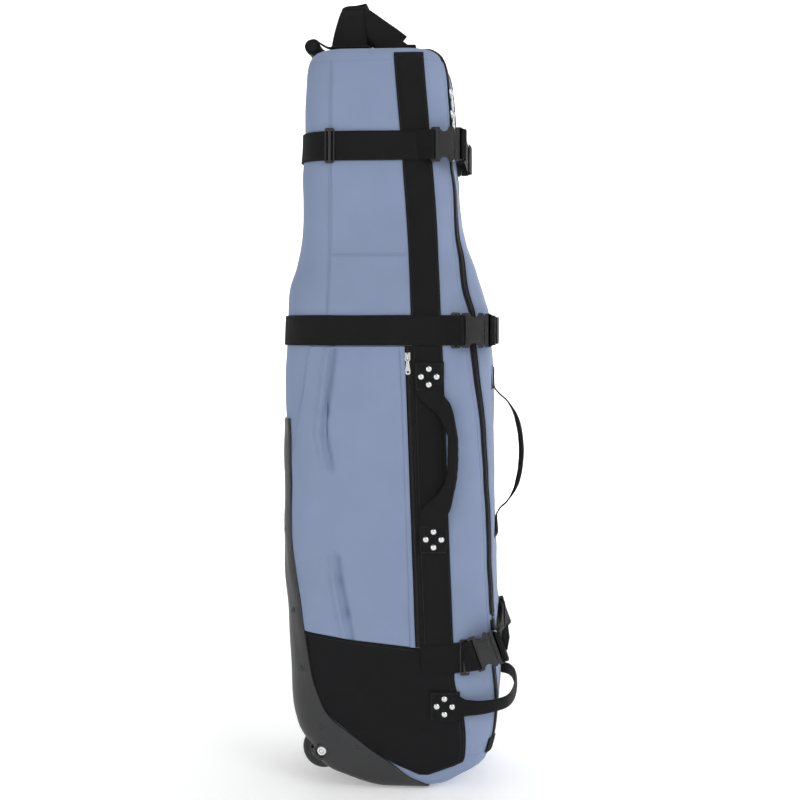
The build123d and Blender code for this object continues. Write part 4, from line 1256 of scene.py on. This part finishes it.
tail = plate("bottom_strap_tail", [(0, -12), (2, 20), (12, 34), (15, 10), (11, -12)], -1.0, 1.0,
             ((-168.0, -200 + SHIFT_Y, 258), (0, -1, 0), (0, 0, 1), (-0.94, -0.34, 0)), WEB, 0.5)
keep(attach(tail, "bottom_strap"), "webbing")
tip = plate("top_strap_tail", [(-6, 0), (-7, -8), (0, -10), (9, 1), (8, 4)], -0.9, 0.9,
            ((-131.0, -131 + SHIFT_Y, 1095), (0, -1, 0), (0, 0, 1), (-0.94, -0.34, 0)), WEB, 0.4)
keep(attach(tip, "top_strap"), "webbing")

rings = []
for z, y in ((1120.0, 101.0), (795.0, -121.0), (232.0, -136.0)):
    for sign in (1, -1):
        v = float(v_at(z))
        g = float(g_at_y(v, y)) * sign
        o = point(g, v, 4.7) / MM
        n = normal_at(np.array(g), np.array(v))
        up = np.array([0, 0, 1.0]) - n * n[2]
        up /= np.linalg.norm(up)
        frame = (o, np.cross(up, n), up, n)
        rings.append(plate("g", rounded(17, 62, 3.5), -0.6, 3.2, frame, BUCKLE, 0.9,
                           [rounded(4.0, 54, 1.4, -4.4, 0), rounded(4.0, 54, 1.4, 4.4, 0)]))
keep(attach(join("strap_adjuster_rings", rings), "case"), "buckle_plastic", "strap_adjusters")

# ---------------------------------------------------------------- rivets and handle patches
DOME = [(5.4, 0), (5.3, 0.7), (4.7, 1.6), (3.5, 2.3), (1.9, 2.75), (0.6, 2.9)]


def dome_shape(n=20):
    pts = [(r * math.cos(2 * math.pi * k / n), r * math.sin(2 * math.pi * k / n), h) for r,
           h in DOME for k in range(n)]
    faces = [(i * n + k, i * n + (k + 1) % n, (i + 1) * n + (k + 1) % n, (i + 1) * n + k)
             for i in range(len(DOME) - 1) for k in range(n)]
    faces += [tuple(range((len(DOME) - 1) * n, len(DOME) * n)), tuple(range(n))[::-1]]
    return pts, faces


# height, y and the height of the layer under each stitched patch
HANDLE_PATCHES = ((715, -76, 2.2), (434, -84, 2.2), (147, -103, 1.7))
rivet_pos = []
patch_objs, patch_rows = [], []
for sign in (1, -1):
    for z, y, low in HANDLE_PATCHES:
        v = float(v_at(z))
        patch = side_slab("patch", lambda v, y=y: g_at_y(v, y - 26), lambda v, y=y: g_at_y(v, y + 26),
                          float(v_at(z - 26)),
                          float(v_at(z + 26)), low + 0.3, 4.4, WEB, "case", sign, pitch=5, edge=0.8)
        patch_objs.append(patch)
        corners = [(y - 22, z - 22), (y + 22, z - 22), (y + 22, z + 22), (y - 22, z + 22), (y - 22, z - 22)]
        path = []
        for (ya, za), (yb, zb) in zip(corners, corners[1:]):
            for t in np.linspace(0, 1, 8)[:-1]:
                vv = float(v_at(za + (zb - za) * t))
                path.append((sign * float(g_at_y(vv, ya + (yb - ya) * t)), vv))
        patch_rows.append(stitches("s", path, 4.4, THREAD_BLACK, None))
        for dy, dz in ((0, 13.5), (0, -13.5), (13.5, 0), (-13.5, 0)):
            vv = float(v_at(z + dz))
            g = sign * float(g_at_y(vv, y + dy))
            rivet_pos.append((point(g, vv, 4.3) / MM, normal_at(np.array(g), np.array(vv))))
for o in patch_objs:
    o.parent = None
keep(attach(join("handle_patch_webbing", patch_objs), "case"), "webbing", "handle_patches")
keep(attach(join("handle_patch_stitching", patch_rows), "case"), "webbing")
pos = np.array([p for p, n in rivet_pos])
nor = np.array([n for p, n in rivet_pos])
frames = frames_of(pos, np.broadcast_to([0, 0, 1.0], pos.shape) - nor * nor[:, 2:], nor)
rivets = sharp_shade(repeat_shape("handle_rivet_domes", frames, *dome_shape(), CHROME, "case"), 60)
keep(rivets, "bright_metal", "handle_rivets")

# ---------------------------------------------------------------- side handles
front_line = line_curve([(440, -110), (466, -109), (484, -111), (496, -116), (521, -121), (548, -124.5),
                         (574, -126), (600, -126),
                         (631, -123), (660, -116), (672, -107), (687, -103), (708, -102)])
rear_line = line_curve([(440, -58), (466, -58), (479, -63), (496, -80), (518, -97), (541, -108),
                        (574, -110.5), (609, -110.5), (629, -104),
                        (655, -92), (676, -70), (696, -52), (708, -50)])


def rest_x(y, z, h):
    """x of the side's surface, raised by h."""
    v = float(v_at(z))
    return float(-point(float(g_at_y(v, y)), v, h)[0] / MM)


handle_x = line_curve([(440, rest_x(-84, 440, 2.6)), (462, rest_x(-84, 462, 4.4)), (491, 175.5),
                       (521, 180.5), (574, 183), (621, 180.5),
                       (656, 175.5), (687, rest_x(-78, 687, 4.6)), (708, rest_x(-76, 708, 2.6))])
fold_t = line_curve([(440, 1.1), (471, 1.3), (501, 3.2), (531, 5.2), (574, 5.6), (617, 5.2), (646, 3.2),
                     (679, 1.3), (708, 1.1)])

def handle_run(name, side, z0, z1, grow, mat, profile, n):
    z = np.linspace(z0, z1, n)
    f, r = front_line(z), rear_line(z)
    roll = 0.34 * bump(z - 574, 75)
    centre = np.stack([side * handle_x(z), (f + r) / 2 + SHIFT_Y, z], -1)
    across = np.stack([-side * np.sin(roll), np.cos(roll), 0 * z], -1)
    return sweep(name, centre, across, (r - f) / 2 + grow, fold_t(z) + grow, mat, profile)


for side, key in ((-1, "left"), (1, "right")):
    for part, z0, z1, s, e in (("upper", 574.0, 707.0, 0.686, 0.650), ("lower", 574.0, 441.0, 0.463, 0.501)):
        run = handle_run(f"side_handle_{part}_{key}", side, z0, z1, 0.0, WEB, None, 60)
        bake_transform(run)
        keep(run, "webbing")
        if part == "upper":
            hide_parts(f"side_handle_strap_{key}")
    sleeve = handle_run(f"side_handle_sleeve_{key}", side, 523.0, 625.0, 0.0, GRIP, ROUND_PROFILE, 40)
    z = np.linspace(0, 1, 40)
    puff = 1.6 * np.sin(math.pi * z) ** 0.35 + 0.25 * np.sin(z * 40)
    co = np.array([p.co for p in sleeve.data.vertices]).reshape(40, 20, 3)
    mid = co.mean(1, keepdims=True)
    spread = np.linalg.norm(co - mid, axis=2, keepdims=True)
    co = co + (co - mid) / spread * puff[:, None, None] * MM
    sleeve.data.vertices.foreach_set("co", co.astype(np.float32).ravel())
    keep(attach(sleeve, f"side_handle_{key}"), "grip_padding", f"side_handle_grip_{key}")

# ---------------------------------------------------------------- front handle
y0 = -cad_section(466)[1] - 7.5 + SHIFT_Y
reach = [(-9.3, 714), (-8.6, 694), (0, 681), (15, 667), (33, 634), (39.5, 602), (41.3, 575), (39.5, 548),
         (33, 516), (15, 483), (1, 469),
         (-4.2, 457), (-4.8, 438)]
path = smooth_path([(0, y0 - o, z) for o, z in reach], 110)
t = np.abs(path[:, 2] - 575) / 138
front = sweep("front_handle_webbing", path, (1, 0, 0), np.interp(t, [0, 0.45, 0.8, 1], [10.5, 11, 14, 22]),
              np.interp(t, [0, 0.4, 0.62, 1], [5.0, 4.6, 1.6, 1.2]), WEB, ROUND_PROFILE)
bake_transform(front)
keep(front, "webbing", "front_handle_strap")
patches, rows = [], []
for z0, z1 in ((690, 728), (422, 460)):
    patches.append(slab("p", lambda v: g_at_x(v, 0) - 25, lambda v: g_at_x(v, 0) + 25, float(v_at(z0)),
                        float(v_at(z1)), 3.2, 5.0, WEB,
                        "flap", pitch=5, edge=0.8))
    c = [(-21, z0 + 4), (21, z0 + 4), (21, z1 - 4), (-21, z1 - 4), (-21, z0 + 4), (21, z1 - 4)]
    pts = []
    for (xa, za), (xb, zb) in zip(c, c[1:]):
        for u in np.linspace(0, 1, 8)[:-1]:
            pts.append((xa + (xb - xa) * u, float(v_at(za + (zb - za) * u))))
    rows.append(stitches("s", pts, 5.0, THREAD_BLACK, None))
    base = slab("p", lambda v: g_at_x(v, 0) - 27, lambda v: g_at_x(v, 0) + 27, float(v_at(z0 - 3)),
                float(v_at(z1 + 3)), 0.2, 1.2, WEB,
                "flap", pitch=6, edge=0.6)
    patches.append(base)
for o in patches:
    o.parent = None
keep(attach(join("front_handle_patch_webbing", patches), "flap"), "webbing", "front_handle_patches")
keep(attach(join("front_handle_stitching", rows), "flap"), "webbing")

# ---------------------------------------------------------------- bottom handle
for side, key in ((-1, "left"), (1, "right")):
    line = [(side * 170.0, -88, 147), (side * 170.6, -112, 146.6), (side * 172.0, -134, 146),
            (side * 170.5, -156, 146), (side * 158, -184, 147),
            (side * 125, -211, 148.5), (side * 70, -221,
                                        149.5), (side * 30, -223.4, 150), (-side * 0.6, -224, 150)]
    path = np.array(strap_line(line, 90))
    y = path[:, 1] - SHIFT_Y
    hw = np.interp(-y, [88, 114, 124, 140, 158, 185, 212, 224], [25, 25, 22, 14, 12.5, 11, 10.5, 11])
    ht = np.interp(-y, [88, 114, 130, 150, 185, 224], [1.1, 1.2, 2.2, 3.4, 3.6, 3.2])
    half = sweep(f"bottom_handle_webbing_{key}", path, (0, 0, 1), hw, ht, WEB, ROUND_PROFILE)
    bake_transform(half)
    keep(half, "webbing")
    if side < 0:
        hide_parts("bottom_handle_strap")

# ---------------------------------------------------------------- top handle and rear grip
TOP = 1305.0


def arch_band(name, y_base, y_top, w_base, w_top, rise, inset):
    xz = [(-60 + inset, 0.6), (-58.5 + inset, 18), (-53 + inset, 42), (-41, rise - 5), (-26, rise),
          (26, rise), (41, rise - 5),
          (53 - inset, 42), (58.5 - inset, 18), (60 - inset, 0.6)]
    path = smooth_path([(x, 0, TOP + h) for x, h in xz], 100)
    share = np.clip((path[:, 2] - TOP) / rise, 0, 1)
    path[:, 1] = y_base + (y_top - y_base) * share + SHIFT_Y
    across = np.stack([0 * share, np.ones_like(share), 0 * share], -1)
    return sweep(name, path, across, (w_base + (w_top - w_base) * share ** 1.3) / 2,
                 1.5 + 0.5 * bump(share - 0.5, 0.3), WEB)


rear_loop = arch_band("top_handle_rear", 75, 72, 64, 38, 72.5, 0)
front_loop = arch_band("top_handle_front", -14, 66, 50, 38, 68.5, 4)
keep(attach(rear_loop, "case"), "webbing", "top_handle_straps")
keep(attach(front_loop, "case"), "webbing")
x = np.linspace(-37, 37, 40)
end = np.clip((37 - np.abs(x)) / 7, 0, 1)
size = 0.62 + 0.38 * np.sqrt(1 - (1 - end) ** 2)
wrap = sweep("top_handle_wrap_pad", np.stack([x, 0 * x + 69 + SHIFT_Y, 0 * x + 1375.5], -1), (0, 1, 0),
             24 * size + 0.35 * np.sin(x * 0.7),
             11.5 * size, GRIP, ROUND_PROFILE)
lap = sweep("top_handle_wrap_flap", np.stack([x * 0.9, 0 * x + 61 + SHIFT_Y, 0 * x + 1386.2], -1),
            (0, 1, -0.2), 15.5, 1.2, GRIP)
keep(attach(wrap, "case"), "grip_padding", "top_handle_wrap")
keep(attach(lap, "case"), "grip_padding")
tab_objs, rows = [], []
for y_a, y_b in ((38, 106), (-46, 10)):
    for x_a in (-74, 46):
        frame = ((x_a + 14, (y_a + y_b) / 2 + SHIFT_Y, TOP), (1, 0, 0), (0, 1, 0), (0, 0, 1))
        tab_objs.append(plate("t", rounded(28, y_b - y_a, 3), -2.6, 1.7, frame, WEB, 0.6))
        x0, x1, ya, yb = x_a + 3, x_a + 25, y_a + 4 + SHIFT_Y, y_b - 4 + SHIFT_Y
        rows.append(world_stitches("s", [(x0, ya, TOP + 1.7), (x1, ya, TOP + 1.7), (x1, yb, TOP + 1.7),
                                         (x0, yb, TOP + 1.7),
                                         (x0, ya, TOP + 1.7), (x1, yb, TOP + 1.7)], (0, 0, 1), THREAD_BLACK))
keep(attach(join("top_handle_tab_webbing", tab_objs), "case"), "webbing", "top_handle_tabs")
keep(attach(join("top_handle_stitching", rows), "case"), "webbing")

x = np.linspace(-62, 62, 60)
end = np.clip((62 - np.abs(x)) / 6, 0, 1)
size = 0.5 + 0.5 * np.sqrt(1 - (1 - end) ** 2)
roll = sweep("rear_grip_pad", np.stack([x, 0 * x + 142 + SHIFT_Y, 0 * x + 1308], -1), (0, 1, 0),
             12 * size + 0.25 * np.sin(x * 0.6), 12 * size,
             GRIP, ROUND_PROFILE)
keep(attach(roll, "case"), "grip_padding", "rear_grip")
loops = []
for x_mid in (-48, 48):
    line = [(x_mid, 92, 1306.2), (x_mid, 112, 1307), (x_mid, 127, 1314), (x_mid, 139, 1321.4),
            (x_mid, 150, 1318.5), (x_mid, 155.4, 1309),
            (x_mid, 151, 1298.5), (x_mid, 141, 1294.4)]
    loops.append(sweep("l", strap_line(line, 40), (1, 0, 0), 11, 1.0, WEB))
keep(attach(join("rear_grip_webbing", loops), "case"), "webbing", "rear_grip_loops")

# ---------------------------------------------------------------- inside
pad_edge = lambda v: g_at_y(v, -58)
pad = slab("club_head_foam", pad_edge, round_about(pad_edge), float(v_at(977)), float(v_at(1222)), -14.6,
           -4.4, FOAM, "case", pitch=9, edge=4.0)
keep(pad, "foam_lining", "club_head_pad")
line = [(-150, 104, 640), (-138, 136, 640), (-112, 163, 640), (-60, 177, 640), (0, 178.8, 640),
        (60, 177, 640), (112, 163, 640), (138, 136, 640),
        (150, 104, 640)]
inner = sweep("club_strap", strap_line(line, 70), (0, 0, 1), 19, 0.9, WEB, body="case")
keep(inner, "webbing", "inner_club_strap")

# ---------------------------------------------------------------- wheels and other parts kept from the CAD
KEPT = {"wheel_tyre": (RUBBER, "wheel_rubber"), "wheel_hub": (HUB, "wheel_hub"),
        "wheel_bearings": (STEEL, "bearing_steel"),
        "wheel_housings": (SHELL, "moulded_plastic"), "wheel_axles": (CHROME, "bright_metal"),
        "wheel_nuts_and_washers": (STEEL, "dark_metal")}
for node, obj in CAD_NODES.items():
    for key, (mat, slot_name) in KEPT.items():
        if node.startswith(key):
            obj.data.materials.clear()
            obj.data.materials.append(mat)
            obj.data.set_sharp_from_angle(angle=math.radians(35))


# ---------------------------------------------------------------- studio
def area_light(name, at, target, size, power, color=(1, 1, 1)):
    data = bpy.data.lights.new(name, "AREA")
    data.shape = "RECTANGLE"
    data.size, data.size_y = size
    data.energy = power
    data.color = color
    obj = bpy.data.objects.new(name, data)
    obj.location = at
    obj.rotation_euler = (Vector(target) - Vector(at)).to_track_quat("-Z", "Y").to_euler()
    bpy.context.scene.collection.objects.link(obj)


area_light("key", (-3.0, -2.2, 2.6), (0, 0, 0.7), (1.7, 2.2), 47)
area_light("fill", (-2.4, 2.6, 1.6), (0, 0, 0.7), (2.2, 2.4), 16)
area_light("top", (0.2, -0.2, 3.4), (0, 0, 0.6), (2.6, 2.6), 22)
area_light("front", (0.6, -3.4, 1.4), (0, 0, 0.7), (1.6, 2.4), 13)
area_light("backdrop_wash", (2.2, 0, 2.4), (9, 0, 1.6), (4.0, 2.0), 330)
area_light("floor_wash", (4.6, 0, 3.2), (5.2, 0, 0), (3.5, 5.0), 120)
world = bpy.data.worlds.new("studio")
world.use_nodes = True
world.node_tree.nodes["Background"].inputs["Color"].default_value = (0.93, 0.94, 0.96, 1)
world.node_tree.nodes["Background"].inputs["Strength"].default_value = 0.2
bpy.context.scene.world = world
floor_mat = material("floor_paper", (0.9, 0.9, 0.9), 0.95)
wall_mat = material("backdrop_paper", (0.9, 0.9, 0.9), 0.95)
for paper, glow in ((floor_mat, 0.30), (wall_mat, 0.12)):
    shader = paper.node_tree.nodes["Principled BSDF"]
    shader.inputs["Emission Color"].default_value = (1, 1, 1, 1)
    shader.inputs["Emission Strength"].default_value = glow
bpy.ops.mesh.primitive_cylinder_add(vertices=160, radius=9.0, depth=7.0, end_fill_type="NOTHING",
                                    location=(0, 0, 3.5 - 0.0015))
wall = bpy.context.object
wall.name = "backdrop"
bpy.ops.mesh.primitive_plane_add(size=20, location=(0, 0, -0.0015))
floor = bpy.context.object
floor.name = "floor"
floor.data.materials.append(floor_mat)
wall.data.materials.append(wall_mat)

camera = bpy.data.cameras.new("camera")
camera.lens = 68.5
camera.sensor_width = 36
camera.shift_y = -69 / 800
camera_obj = bpy.data.objects.new("camera", camera)
turn = math.radians(5.0) - math.atan(6.5 / 1522)
camera_obj.location = (-2.789, -0.221, 0.794)
look = Vector((math.cos(turn), math.sin(turn), 0.0))
camera_obj.rotation_euler = look.to_track_quat("-Z", "Y").to_euler()
bpy.context.scene.collection.objects.link(camera_obj)
bpy.context.scene.camera = camera_obj
bpy.context.scene.view_settings.view_transform = "Standard"
